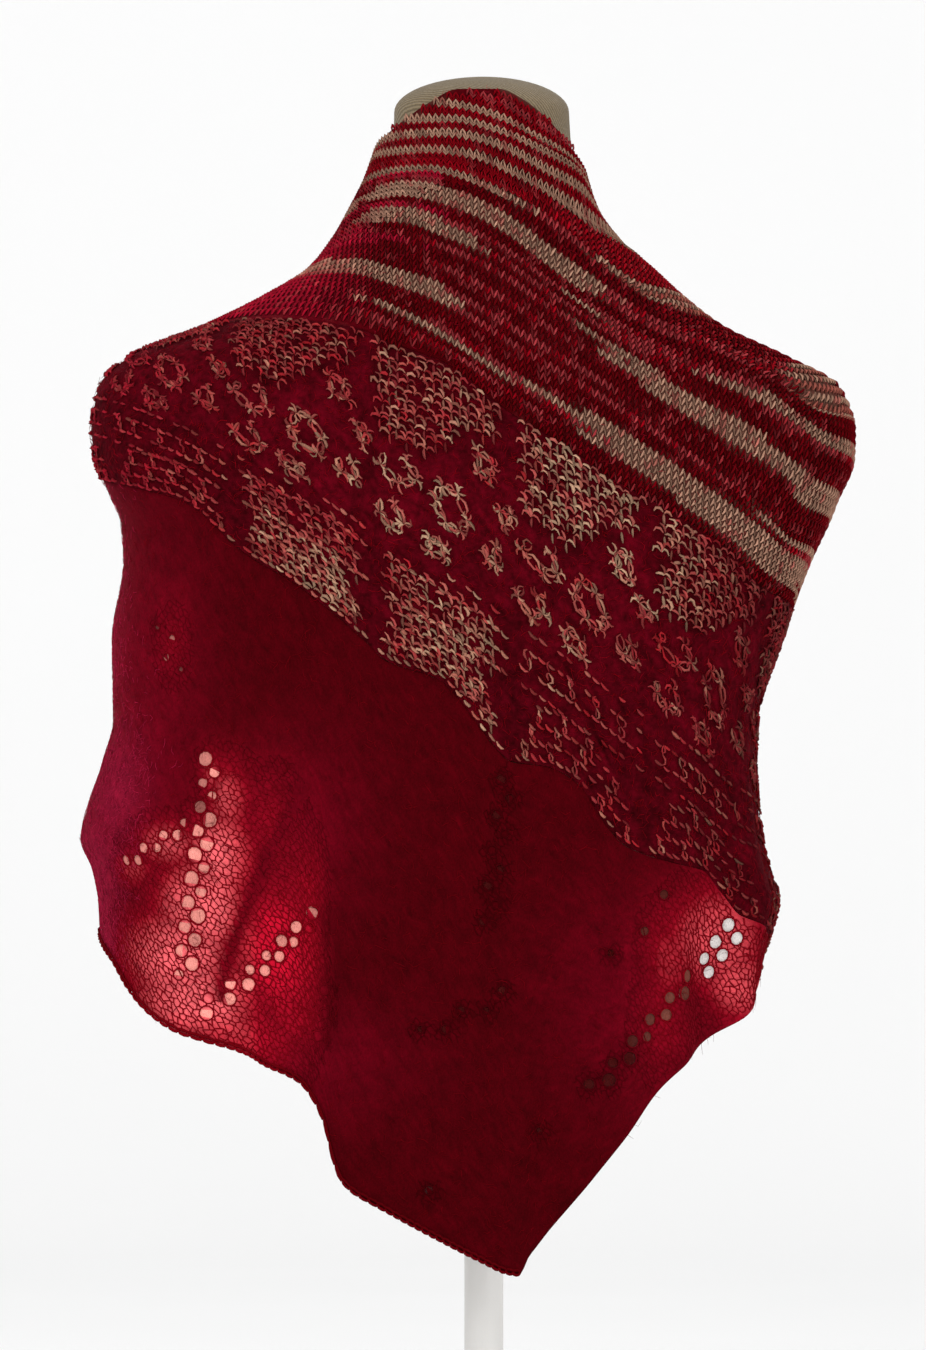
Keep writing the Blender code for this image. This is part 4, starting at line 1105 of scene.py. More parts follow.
def mosaicStrokes():
    # from each plain spine: a wedge of mesh, the rings, the rows of dashes and the rows along the lower edge
    made = []
    postFrom, postWidth, postStep, postCount, postRows = mosaic["posts"]
    wedgeWidths = np.interp(np.arange(mosaic["wedgeLevels"]), *mosaic["wedgeShape"])
    for repeat in range(*mosaic["repeats"]):
        spine = mosaic["spine"] + mosaic["repeat"] * repeat
        made += mesh(spine + mosaic["wedgeFrom"], mosaic["wedgeTop"], wedgeWidths)
        for middle, row, wide, tall, count, openTop in mosaic["rings"]:
            made += ring(spine + middle, row, wide, tall, count, openTop)
        for row, share in zip(mosaic["dashRows"], mosaic["dashShares"]):
            across = spine + mosaic["dashFrom"] + np.arange(0.0, mosaic["dashWidth"], mosaic["dashStep"])
            across = across[random.random(len(across)) < share]
            made += dashes(across, np.full(len(across), row))
        if repeat in mosaic["meshyRepeats"]:
            for start, width in mosaic["patches"]:
                made += mesh(spine + start, mosaic["dashRows"][1], [width] * mosaic["patchLevels"])
        else:
            across = spine + postFrom + np.arange(0.0, postWidth, postStep)
            across = across + random.normal(0.0, 0.3, postCount)
            made += posts(across, np.full(postCount, mosaic["dashRows"][1]), postRows)
        for level, rise in enumerate(mosaic["hemRows"]):
            inset = 0.7 + 0.9 * level
            across = spine + np.arange(inset, mosaic["repeat"] - inset, 0.95 * mosaic["dashStep"])
            row = np.interp(across, edgeStitches, edgeRows) - rise
            made += dashes(across, row)
            if level and repeat in mosaic["meshyRepeats"]:
                places = np.stack((across, row), axis=1)
                made += tufts(places[::2]) + tufts(places[1::2] + (0.0, mosaic["meshRise"]))
            elif level:
                made += posts(across[::3], row[::3] + 0.2, mosaic["hemPostRows"])
    return made


mosaicYarn = spin("mosaicYarn", mosaicStrokes(), woolPaint, mosaic["yarnRadius"], 3, 0.12, 4)
mosaicShell = backing("mosaicShell", "stripes", "mosaic", *mosaic["shell"], fuzzyPaint,
                      lambda row, stitch: withAlpha(groundShade(row, stitch)), mosaic["shellLift"])
mosaicFuzz = fuzz("mosaicFuzz", "stripes", "mosaic", dye("red") * 0.85)
print("mosaic knitted")

# Net: the open mohair point, with lines of big eyelets
net = {
    "cellWidth": 0.76,       # stitches
    "cellHeight": 1.00,      # rows
    "jitter": 0.17,
    "frontCells": 1.35,      # how much wider the cells are taken round the front
    "frontFrom": 92.0,       # turn from which they are, either way
    "rows": (66.0, 154.0),
    "stitches": (-170.0, 60.0),
    "edgeMargins": (0.001, 0.0015),     # how far the strands stay from the mosaic and from the hem
    "strandRadius": 0.00049,
    "ringRadius": 0.00054,
    "veilStep": 0.0029,
    "veilRows": 98,
    "veilLifts": (-0.0004, -0.0011),
    "eyeletSwing": 0.13,     # how uneven the eyelets are in size, as a share
    "eyeletDepth": 0.006,    # how far before or behind an eyelet the net still makes room for it
    # across and height of the first, across and height of the last, count, zigzag either way, radius
    "backEyelets": (
        (-0.1431, 0.4073, -0.1554, 0.2869, 19, 0.0028, 0.0042),
        (-0.1560, 0.3703, -0.1884, 0.3490, 7, 0.0020, 0.0032),
        (-0.0848, 0.3199, -0.1492, 0.2678, 14, 0.0028, 0.0036),
        (-0.1705, 0.4823, -0.1630, 0.4566, 4, 0.0030, 0.0022),
        (-0.0787, 0.2790, -0.0826, 0.2533, 3, 0.0010, 0.0030),
        (0.0216, 0.3960, 0.0115, 0.3171, 9, 0.0030, 0.0026),
        (0.0204, 0.2762, -0.0249, 0.2544, 5, 0.0030, 0.0026),
        (0.0417, 0.2006, -0.0216, 0.1676, 2, 0.0000, 0.0024),
        (0.1509, 0.3132, 0.1380, 0.2897, 6, 0.0030, 0.0042),
        (0.1263, 0.2846, 0.0686, 0.2247, 11, 0.0026, 0.0038),
        (0.1117, 0.3300, 0.0804, 0.2975, 3, 0.0030, 0.0026),
    ),
    # turn and height of the first, turn and height of the last, count, zigzag in degrees, radius
    "frontEyelets": (
        (-111.0, 0.4700, -118.0, 0.3400, 8, 2.2, 0.0040),
        (-141.0, 0.4500, -136.0, 0.3300, 6, 2.4, 0.0040),
    ),
    # light through the net: picture x, picture y, reach across, reach down, strength
    "light": (
        (213, 772, 14, 26, 0.55), (230, 800, 26, 42, 0.65), (222, 855, 38, 45, 0.95),
        (205, 905, 50, 52, 1.0), (180, 955, 60, 48, 1.0), (200, 1000, 72, 50, 1.0),
        (276, 950, 50, 70, 0.85), (290, 1000, 40, 60, 0.55), (240, 1040, 62, 42, 0.75),
        (308, 890, 34, 60, 0.45), (272, 830, 34, 60, 0.4), (140, 950, 34, 44, 0.6),
        (168, 843, 38, 26, 0.7), (134, 868, 24, 20, 0.55), (172, 645, 18, 40, 0.3),
        (716, 940, 50, 54, 0.9), (740, 985, 38, 36, 0.85), (668, 960, 44, 60, 0.5),
        (650, 1015, 55, 60, 0.4), (600, 1080, 60, 50, 0.18),
    ),
    # the same for the brushed side of the left edge, painted pink with the light through it, and for the
    # painted dim light of cloth that glows a little
    "brushed": (
        (92, 880, 24, 66, 0.85), (112, 790, 30, 60, 0.55), (96, 620, 22, 130, 0.50), (94, 935, 24, 40, 0.8),
    ),
    "halfLit": (
        (120, 690, 80, 190, 0.8), (300, 830, 70, 90, 0.5), (640, 1000, 90, 110, 0.5),
        (280, 1060, 120, 60, 0.6),
    ),
    # a soft fold that lies dark across the light: picture points down it
    "shadow": ((298, 800), (270, 852), (247, 905), (228, 960), (222, 985)),
    "shadowWidth": 8.0,
    "shadowStrength": 0.8,
    # where the form behind the net ends the light on either side: picture x, reach
    "lightLeft": (337.0, 20.0),
    "lightRight": (610.0, 50.0),
    "frontLight": 0.5,       # light through the net at the front
    # where the light is red and not salmon: from x, reach, to x; right of x, share; from y, reach, most
    "redLeft": (225.0, 35.0, 400.0),
    "redRight": (600.0, 0.35),
    "redLow": (1010.0, 40.0, 0.8),
}
random = np.random.default_rng(14)


def eyeletPlaces():
    # turns, heights and radii of all the eyelets
    places = []
    for x1, z1, x2, z2, count, zigzag, radius in net["backEyelets"]:
        share = np.arange(count) / max(1, count - 1)
        side = np.where(np.arange(count) % 2, zigzag, -zigzag) / math.hypot(x2 - x1, z1 - z2)
        heights = z1 + share * (z2 - z1) + side * (x2 - x1)
        across = x1 + share * (x2 - x1) + side * (z1 - z2)
        places += list(zip(turnOf(across, heights), heights, [radius] * count))
    for t1, z1, t2, z2, count, zigzag, radius in net["frontEyelets"]:
        share = np.arange(count) / (count - 1)
        side = np.where(np.arange(count) % 2, zigzag, -zigzag)
        places += list(zip(t1 + share * (t2 - t1) + side, z1 + share * (z2 - z1), [radius] * count))
    return np.array(places).T


eyeletTurns, eyeletHeights, eyeletRadii = eyeletPlaces()
eyeletRadii *= 1 + np.clip(random.normal(0.0, net["eyeletSwing"], len(eyeletRadii)), -0.25, 0.14)
eyeletCentres = clothOutside(eyeletTurns, eyeletHeights)
eyeletNormals = clothNormal(eyeletTurns, eyeletHeights)


def ontoEyelets(points, band):
    # points in an eyelet, or within a band round it, moved onto its rim, and the number of their eyelet or -1
    moved = points.copy()
    owner = np.full(points.shape[:-1], -1)
    nearest = np.full(points.shape[:-1], np.inf)
    for number, (centre, normal, radius) in enumerate(zip(eyeletCentres, eyeletNormals, eyeletRadii)):
        away = points - centre
        depth = np.sum(away * normal, axis=-1)
        away = away - depth[..., None] * normal
        distance = np.linalg.norm(away, axis=-1)
        mine = (distance < radius + band) & (distance / radius < nearest)
        mine &= np.abs(depth) < net["eyeletDepth"]
        outward = away[mine] / np.maximum(distance[mine], 1e-6)[..., None]
        moved[mine] = centre + radius * outward + depth[mine][..., None] * normal
        nearest[mine] = distance[mine] / radius
        owner[mine] = number
    return moved, owner


def pictured(points):
    # where points of the back show in the picture
    x = photo["midX"] + points[..., 0] / photo["scale"]
    return x, photo["tipY"] - (points[..., 2] - cloth["tipHeight"]) / photo["scale"]


def patchShare(patches, x, y):
    # the strongest of the soft round patches at each place in the picture
    share = np.zeros(x.shape)
    for px, py, wide, tall, strength in patches:
        share = np.maximum(share, strength * np.exp(-(((x - px) / wide) ** 2) - ((y - py) / tall) ** 2))
    return share


def frontShare(points):
    # 0 all over the back, rising to 1 round the front
    return np.clip((points[..., 1] + 0.01) / 0.10, 0.0, 1.0)


def litShare(points):
    # how much light comes through the net at points
    x, y = pictured(points)
    share = patchShare(net["light"], x, y)
    leftX, leftReach = net["lightLeft"]
    rightX, rightReach = net["lightRight"]
    beside = np.clip((leftX - x) / leftReach, 0.0, 1.0) + np.clip((x - rightX) / rightReach, 0.0, 1.0)
    line = np.array(net["shadow"], float)
    fromFold = (x - np.interp(y, line[:, 1], line[:, 0])) / net["shadowWidth"]
    inFold = (y > line[0, 1] - 20) & (y < line[-1, 1] + 15)
    share = share * (1 - net["shadowStrength"] * np.exp(-(fromFold**2)) * inFold)
    front = frontShare(points)
    return share * beside * (1 - front) + net["frontLight"] * front


def netShade(points):
    # painted light and shade: night red where the form lies behind, salmon or bright red where light comes
    # through
    x, y = pictured(points)
    front = frontShare(points)
    lit = litShare(points)[..., None]
    fromX, reachX, toX = net["redLeft"]
    rightX, rightShare = net["redRight"]
    fromY, reachY, most = net["redLow"]
    saturated = np.clip((x - fromX) / reachX, 0.0, 1.0) * (x < toX) + rightShare * (x > rightX)
    saturated = np.maximum(saturated, np.clip((y - fromY) / reachY, 0.0, most))[..., None]
    bright = dye("lit") * (1 - saturated) + dye("glow") * saturated
    early, late = np.clip(lit / 0.45, 0.0, 1.0), np.clip((lit - 0.40) / 0.50, 0.0, 1.0)
    shade = dye("night") * (1 - early) + (dye("ember") * (1 - late) + bright * late) * early
    # painted dim light where the cloth glows a little, and pink light through the brushed edge
    halfLit = patchShare(net["halfLit"], x, y)[..., None] * (1 - lit) * (1 - front[..., None])
    brushed = (patchShare(net["brushed"], x, y) * (1 - front))[..., None]
    shade = shade * (1 - halfLit) + dye("halfLit") * halfLit
    return shade * (1 - brushed) + dye("backlitBlush") * brushed


def netGraph(cells, inFront):
    # rows of zigzags joined by short links: a net of six-sided cells
    width, height = net["cellWidth"] * cells, net["cellHeight"] * cells
    topRow, bottomRow = net["rows"]
    firstStitch, lastStitch = net["stitches"]
    rise = 0.75 * height
    zigzags = int((bottomRow - topRow) / rise)
    steps = int(2 * (lastStitch - firstStitch) / width)
    zigzag, step = np.meshgrid(np.arange(zigzags), np.arange(steps), indexing="ij")
    stitches = firstStitch + (step + zigzag % 2) * width / 2
    rows = topRow + zigzag * rise + np.where(step % 2, -0.125, 0.125) * height
    stitches = stitches + random.normal(0.0, net["jitter"] * width, step.shape)
    rows = rows + random.normal(0.0, net["jitter"] * height, step.shape)
    turns, heights = stitchPlace(stitches, rows)
    on = between(turns, heights, "mosaic", "hem", *net["edgeMargins"]) & (turns < seams["netEnd"] - 0.4)
    on &= (np.abs(turns) > net["frontFrom"]) == inFront
    points = clothPoints(turns, heights, -0.0003)
    at = np.arange(step.size).reshape(step.shape)
    alongLinks = np.stack((at[:, :-1], at[:, 1:]), axis=-1)[on[:, :-1] & on[:, 1:]]
    down = []
    for level in range(zigzags - 1):
        shift = -1 if level % 2 == 0 else 1
        lower = np.arange(2, steps - 2, 2)
        both = on[level, lower] & on[level + 1, lower + shift]
        down.append(np.stack((at[level, lower[both]], at[level + 1, lower[both] + shift]), axis=-1))
    return points.reshape(-1, 3), alongLinks.reshape(-1, 2), np.concatenate(down)


def strandStrength(points):
    # how plainly the strands show: not at all where the net is brushed or lies on the form
    x, y = pictured(points)
    brushed = patchShare(net["brushed"], x, y) * (1 - frontShare(points))
    shown = np.maximum(litShare(points), 0.2 * (ontoEyelets(points, 0.005)[1] >= 0))
    return np.clip((shown - 0.06) / 0.40, 0.0, 1.0) * np.clip((0.55 - brushed) / 0.3, 0.0, 1.0)


def strandShade(points, strength):
    strength = (strength * np.clip(3 * litShare(points), 0.0, 1.0))[..., None]
    return 0.72 * netShade(points) * (1 - strength) + dye("strand") * strength


def netStrands():
    # the net's strands, less those inside eyelets or out of sight, and a ring round each eyelet
    made = []
    for cells, inFront in ((1.0, False), (net["frontCells"], True)):
        points, alongLinks, downLinks = netGraph(cells, inFront)
        points, owner = ontoEyelets(points, 0.0003)
        strength = strandStrength(points)
        shades = strandShade(points, strength)
        for links in (alongLinks, downLinks):
            inside = (owner[links[:, 0]] >= 0) & (owner[links[:, 0]] == owner[links[:, 1]])
            links = links[~inside & (strength[links[:, 0]] > 0.04)]
            used, links = np.unique(links, return_inverse=True)
            made.append((points[used], 0.45 + 0.55 * strength[used], shades[used], links.reshape(-1, 2)))
    rings = eyeletRings(1.0, -0.0002)
    at = np.arange(rings[..., 0].size).reshape(rings.shape[:2])
    links = np.stack((at, np.roll(at, -1, axis=1)), axis=-1).reshape(-1, 2)
    thick = np.full(at.size, net["ringRadius"] / net["strandRadius"])
    shades = strandShade(rings, strandStrength(rings))
    made.append((rings.reshape(-1, 3), thick, shades.reshape(-1, 3), links))
    return made


def eyeletRings(size, lift):
    # ten points round each eyelet
    around = np.radians(np.arange(0, 360, 36))
    sideways = np.cross(eyeletNormals, [0.0, 0.0, 1.0])
    sideways /= np.linalg.norm(sideways, axis=1, keepdims=True)
    upward = np.cross(sideways, eyeletNormals)
    spokes = sideways[:, None] * np.cos(around)[:, None] + upward[:, None] * np.sin(around)[:, None]
    spokes = spokes * (size * eyeletRadii)[:, None, None]
    return eyeletCentres[:, None] + spokes + lift * eyeletNormals[:, None]


netYarn = spin("netYarn", netStrands(), mohairPaint, net["strandRadius"], 3, 0.15, 5)


def veil():
    # the hazy mohair that fills the net's cells, open at the eyelets
    turns = evenTurns(-cloth["frontEdge"], seams["netEnd"], net["veilStep"])
    tops, bottoms = edgeHeight("mosaic", turns) - seams["gap"], edgeHeight("hem", turns)
    heights = heightsDown(turns, tops, bottoms, net["veilRows"])
    grid = np.broadcast_to(turns[:, None], heights.shape)
    band = net["veilStep"] / 2
    outer, inner = net["veilLifts"]
    outside, owner = ontoEyelets(clothPoints(grid, heights, outer), band)
    inside = ontoEyelets(clothPoints(grid, heights, inner), band)[0]
    corners = np.stack((owner[:-1, :-1], owner[1:, 1:], owner[:-1, 1:], owner[1:, :-1]))
    kept = (corners[0] < 0) | (corners != corners[0]).any(axis=0)
    mottle = random.normal(1.0, 0.10, heights.shape)[..., None]
    return wall("netVeil", outside, inside, withAlpha(netShade(outside) * mottle), veilPaint, kept)


# the film across each eyelet, painted with the light and shade seen through it
paintedLightFilm = {
    "size": 1.07,                   # of the eyelet it fills
    "lifts": (-0.0006, -0.0009),
    "shadedFormFrom": 400,               # picture x from which the film is painted brown, the form in shade behind it
    "backdropWhite": (700, 978),            # picture x from which, and y to which, it is painted the white of the backdrop behind it
    "cover": 0.94,
}


def eyeletPaintedLight():
    # a thin film of fibres across each eyelet, painted with what shows through it: light through the far
    # cloth, the form in shade, the white backdrop, and painted shade where the form lies behind
    x, y = pictured(eyeletCentres)
    front, back = (eyeletRings(paintedLightFilm["size"], lift) for lift in paintedLightFilm["lifts"])
    count, length = front.shape[:2]
    middles = np.stack((front.mean(axis=1), back.mean(axis=1)), axis=1)
    points = np.concatenate((front, back, middles), axis=1)
    ahead = [(i, (i + 1) % length) for i in range(length)]
    faces = []
    for start in range(0, count * (2 * length + 2), 2 * length + 2):
        for i, k in ahead:
            faces.append((start + i, start + k, start + 2 * length))
            faces.append((start + length + k, start + length + i, start + 2 * length + 1))
            faces.append((start + k, start + i, start + length + i, start + length + k))
    onBack = (eyeletCentres[:, 1] < 0)[:, None]
    whiteX, whiteY = paintedLightFilm["backdropWhite"]
    inWhite = onBack & (x > whiteX)[:, None] & (y < whiteY)[:, None]
    colour = np.where((x > paintedLightFilm["shadedFormFrom"])[:, None], dye("shadedFormBrown"), dye("paintedLightFilm"))
    colour = np.where(inWhite, dye("backdropWhite"), colour * random.normal(1.0, 0.10, (count, 1)))
    # painted shade where the form lies behind the eyelet
    hidden = np.clip(1.15 - 2.2 * litShare(eyeletCentres), 0.0, 0.95)[:, None] * onBack
    colour = colour * (1 - hidden) + 0.7 * dye("night") * hidden
    shades = np.repeat(colour[:, None], 2 * length + 2, axis=1)
    mesh = newMesh("eyeletPaintedLight", points, faces)
    mesh.materials.append(veilPaint)
    addShades(mesh, withAlpha(shades, paintedLightFilm["cover"]))
    return addObject("eyeletPaintedLight", mesh)


def makeVeilPaint():
    paint = Paint("mohair haze", Roughness=0.9, Sheen_Weight=0.05, Sheen_Roughness=0.5,
                  Sheen_Tint=(0.9, 0.05, 0.08, 1.0), Specular_IOR_Level=0.02)
    fibres = paint.noise(0.0009, 4.0, (1.0, 1.0, 0.6))
    clouds = paint.noise(0.012, 3.0)
    shade = 0.50 + 0.95 * fibres + 0.7 * (clouds - 0.5)
    paint.bump(fibres, 0.0006)
    colour = paint.times(paint.attribute("dye"), shade)
    return paint.finish(Base_Color=colour, Alpha=paint.attribute("dye", "Alpha"))


veilPaint = makeVeilPaint()
netVeil = veil()
netPaintedLight = eyeletPaintedLight()
netFuzz = fuzz("netFuzz", "mosaic", "hem", dye("red") * 0.7, seams["netEnd"])


def brushedShare(points):
    # how much of the haze stands at points of the brushed left edge
    x, y = pictured(points)
    return 1.6 * patchShare(net["brushed"], x, y) * (1 - frontShare(points))


# the brushed edge's fibres, painted pink with the light through them
edgeFuzz = fuzz("edgeFuzz", "mosaic", "hem", dye("backlitBlush") * 1.25, seams["netEnd"], brushedShare)
print("net worked:", len(eyeletRadii), "eyelets")

# Bound-off edge: a row of small loops along the left hem
bindOff = {
    "loop": 0.0044,
    "ends": (-157.6, 11.6),
    "radius": 0.0008,
    "chainRise": 0.0022,
    "chainLift": 0.0006,
    # along a loop: share of its length, height above the hem, lift in millimetres, thickness, chain's rise
    "along": (0.0, 0.15, 0.5, 0.85, 1.0),
    "heights": (0.0016, 0.0002, 0.0, 0.0002, 0.0016),
    "lifts": (0.2, 0.6, 0.8, 0.6, 0.2),
    "thickness": (0.8, 1.0, 1.1, 1.0, 0.8),
    "chain": (0.0, 0.0004, 0.0006, 0.0004, 0.0),
}


def bindOffStrands():
    # the loops on the edge, and a chain just above them
    turns = evenTurns(*bindOff["ends"], bindOff["loop"])
    start, end = turns[:-1], turns[1:]
    grid = start[:, None] + (end - start)[:, None] * np.array(bindOff["along"])
    hem = smoothThrough(edges["hem"], grid)
    # painted light: the loops are brighter where light comes through the net
    shade = dye("red") * (0.5 + 0.5 * litShare(clothOutside(start, hem[:, 0])))[:, None]
    loops = clothPoints(grid, hem + np.array(bindOff["heights"]), np.array(bindOff["lifts"]) * 0.001)
    chain = clothPoints(grid, hem + bindOff["chainRise"] + np.array(bindOff["chain"]), bindOff["chainLift"])
    thick = np.array(bindOff["thickness"])
    return [paths(loops, thick, shade[:, None, :]), paths(chain, thick * 0.9, shade[:, None, :] * 0.8)]


edgeYarn = spin("edgeYarn", bindOffStrands(), mohairPaint, bindOff["radius"], 4, 0.1, 6)

# Dress form and stand
form = {
    "clearance": 0.0018,
    "wall": 0.002,
    "chest": 0.600,
    "bottom": 0.236,
    "capTop": 0.7914,
    "capRise": 0.020,
    "columns": 160,
    "capRings": 14,
    "shoulderRings": 60,
    "torsoRings": 60,
    "softness": 0.0006,     # how gently the form gives way to the cloth that it carries
    # height, left, right, back, front, squareness
    "sections": (
        (0.8000, 0.0500, 0.0500, 0.0490, 0.0530, 2.0),
        (0.7350, 0.0515, 0.0515, 0.0540, 0.0580, 2.0),
        (0.7000, 0.0700, 0.0700, 0.0700, 0.0740, 2.0),
        (0.6500, 0.1560, 0.1560, 0.0900, 0.0950, 2.1),
        (0.6167, 0.1890, 0.1890, 0.0990, 0.1080, 2.2),
        (0.5900, 0.1860, 0.1860, 0.1045, 0.1160, 2.2),
        (0.5500, 0.1700, 0.1700, 0.1080, 0.1250, 2.2),
        (0.5100, 0.1590, 0.1590, 0.1060, 0.1285, 2.2),
        (0.4600, 0.1450, 0.1450, 0.0960, 0.1200, 2.2),
        (0.4100, 0.1230, 0.1230, 0.0840, 0.1020, 2.2),
        (0.3700, 0.1050, 0.1050, 0.0740, 0.0880, 2.2),
        (0.3283, 0.0880, 0.0880, 0.0680, 0.0790, 2.2),
        (0.2900, 0.0830, 0.0830, 0.0670, 0.0770, 2.2),
        (0.2360, 0.0840, 0.0840, 0.0700, 0.0790, 2.2),
    ),
}


def formRadius(turns, heights):
    # the bare form, or the inside of the cloth where that lies nearer the axis
    bare = sectionRadius(form["sections"], turns, heights)
    normal = clothNormal(turns, heights)
    angle = np.radians(turns)
    outward = np.stack((np.sin(angle), -np.cos(angle), 0 * angle), axis=-1)
    inset = form["wall"] + form["clearance"]
    lower = heights + inset * normal[..., 2]
    underCloth = sectionRadius(cloth["sections"], turns, lower) + np.minimum(0.0, foldDepth(turns, lower))
    underCloth -= inset * np.sum(normal * outward, axis=-1)
    softness = form["softness"]
    nearer = np.minimum(bare, underCloth)
    blend = np.exp(-(bare - nearer) / softness) + np.exp(-(underCloth - nearer) / softness)
    return nearer - softness * np.log(blend)


def onAxis(radius, turns, heights):
    radius, turns, heights = np.broadcast_arrays(radius, turns, heights)
    angle = np.radians(turns)
    return np.stack((cloth["axisX"] + radius * np.sin(angle), -radius * np.cos(angle), heights), axis=-1)


def stackRings(name, rings, finish, topPoint=None):
    # a closed skin over rings of points from the top down, the top closed on a point or a flat face
    levels, columns = rings.shape[:2]
    at = np.arange(levels * columns).reshape(levels, columns)
    ahead = np.roll(at, -1, axis=1)
    faces = np.stack((at[:-1], at[1:], ahead[1:], ahead[:-1]), axis=-1).reshape(-1, 4).tolist()
    faces.append(at[-1, ::-1].tolist())
    points = rings.reshape(-1, 3)
    if topPoint is None:
        faces.append(at[0].tolist())
    else:
        points = np.concatenate((points, [topPoint]))
        faces += [[levels * columns, i, k] for i, k in zip(at[0], ahead[0])]
    mesh = newMesh(name, points, faces)
    mesh.shade_smooth()
    mesh.set_sharp_from_angle(angle=math.radians(40))
    mesh.materials.append(finish)
    return addObject(name, mesh)


def jerseyPaint():
    # fine slanting ribs of beige jersey
    paint = Paint("beige jersey", Roughness=0.9, Sheen_Weight=0.10, Sheen_Roughness=0.5,
                  Specular_IOR_Level=0.10)
    waves = {"Scale": 200.0, "Distortion": 2.0, "Detail": 2.0, "Detail Scale": 3.0}
    ribs = paint.add("TexWave", {"wave_type": "BANDS", "bands_direction": "DIAGONAL"},
                     {"Vector": paint.place(), **waves})
    fibres = paint.noise(0.0008)
    knitted = 0.7 * ribs + 0.5 * fibres - 0.1
    colour = paint.mixed(knitted, (0.088, 0.064, 0.036, 1.0), (0.235, 0.18, 0.108, 1.0))
    paint.bump(knitted, 0.0005)
    return paint.finish(Base_Color=colour)


def woodPaint():
    # pale satin paint with the turned grain just showing through
    paint = Paint("painted wood", Roughness=0.42, Specular_IOR_Level=0.4)
    grain = paint.noise(0.004, 3.0, (1.0, 1.0, 0.15))
    wear = paint.noise(0.03, 2.0)
    paint.bump(grain, 0.0001)
    colour = paint.mixed(0.6 * grain + 0.4 * wear, (0.50, 0.46, 0.40, 1.0), (0.68, 0.64, 0.57, 1.0))
    return paint.finish(Base_Color=colour, Roughness=0.34 + 0.16 * wear)


def metalPaint():
    # powder coat: a fine orange-peel skin
    paint = Paint("powder-coated steel", Roughness=0.38, Specular_IOR_Level=0.5)
    peel = paint.noise(0.0012, 2.0)
    clouds = paint.noise(0.05, 2.0)
    paint.bump(peel, 0.00006)
    colour = paint.mixed(clouds, (0.62, 0.61, 0.59, 1.0), (0.72, 0.71, 0.69, 1.0))
    return paint.finish(Base_Color=colour, Roughness=0.32 + 0.12 * peel)


jersey = jerseyPaint()
shoulder = form["capTop"] - form["capRise"]
capTurns = np.radians(90.0 * np.arange(1, form["capRings"]) / form["capRings"])
capHeights = shoulder + form["capRise"] * np.cos(capTurns)
sideTurn = np.array([-90.0])
shoulderTop, shoulderEnd = np.array([shoulder]), np.array([form["chest"]])
shoulderHeights = heightsDown(sideTurn, shoulderTop, shoulderEnd, form["shoulderRings"])[0]
torsoHeights = np.linspace(form["chest"], form["bottom"], form["torsoRings"])[1:]
levels = np.concatenate((capHeights, shoulderHeights, torsoHeights))
roundTurns = np.linspace(-180.0, 180.0, form["columns"], endpoint=False)
turns, heights = np.broadcast_arrays(roundTurns[None, :], levels[:, None])
radius = formRadius(turns, np.minimum(heights, shoulder))
rise = np.clip((heights - shoulder) / form["capRise"], 0.0, 1.0)
radius = radius * np.sqrt(1.0 - rise**2)
formTop = (cloth["axisX"], 0.0, form["capTop"])
formSkin = stackRings("formSkin", onAxis(radius, turns, heights), jersey, formTop)
print("dress form made")

stand = {
    "capTop": 0.2357,
    "capBottom": 0.150,
    # share of the cap's height from its top down, size of the form's section there
    "capSizes": ((0.0, 0.985), (0.03, 0.995), (0.10, 1.0), (0.40, 0.81), (0.74, 0.43)),
    # share of the cap's height, radius
    "capRounds": ((0.90, 0.022), (0.93, 0.019), (0.985, 0.0172), (1.0, 0.0162)),
    "capLevels": 36,
    # radius, height
    "pole": ((0.0100, 0.1497), (0.0110, 0.1490), (0.0110, 0.0270), (0.0100, 0.0263)),
    "base": ((0.0180, 0.0260), (0.0205, 0.0255), (0.0220, 0.0240), (0.0260, 0.0120), (0.0272, 0.0106),
             (0.0290, 0.0100), (0.0900, 0.0096), (0.1475, 0.0090), (0.1490, 0.0083), (0.1500, 0.0065),
             (0.1500, 0.00125), (0.1497, 0.0004), (0.14875, 0.0)),
    "columns": 96,
}


def turned(name, profile, finish):
    # a round piece from its profile of (radius, height), top down
    radii, heights = np.array(profile).T
    turns = np.linspace(-180.0, 180.0, stand["columns"], endpoint=False)
    return stackRings(name, onAxis(radii[:, None], turns[None, :], heights[:, None]), finish)


def endCap():
    # the turned block that closes the torso and narrows to the pole
    turns = np.linspace(-180.0, 180.0, stand["columns"], endpoint=False)
    share = np.linspace(0.0, 1.0, stand["capLevels"])
    share = np.unique(np.concatenate((share, [line[0] for line in stand["capSizes"] + stand["capRounds"]])))
    section = sectionRadius(form["sections"], turns, np.full(turns.shape, stand["capTop"]))
    sized = smoothThrough(stand["capSizes"], share)[:, None] * section
    rounds = np.array(stand["capRounds"])
    lastSize = stand["capSizes"][-1][0]
    low = np.clip((share - lastSize) / (rounds[0, 0] - lastSize), 0.0, 1.0)[:, None]
    low = low * low * (3 - 2 * low)
    radius = sized * (1 - low) + np.interp(share, *rounds.T)[:, None] * low
    heights = stand["capTop"] + share * (stand["capBottom"] - stand["capTop"])
    return stackRings("endCap", onAxis(radius, turns[None, :], heights[:, None]), woodPaint())


endCapPiece = endCap()
metal = metalPaint()
pole = turned("pole", stand["pole"], metal)
basePlate = turned("basePlate", stand["base"], metal)
print("stand made")

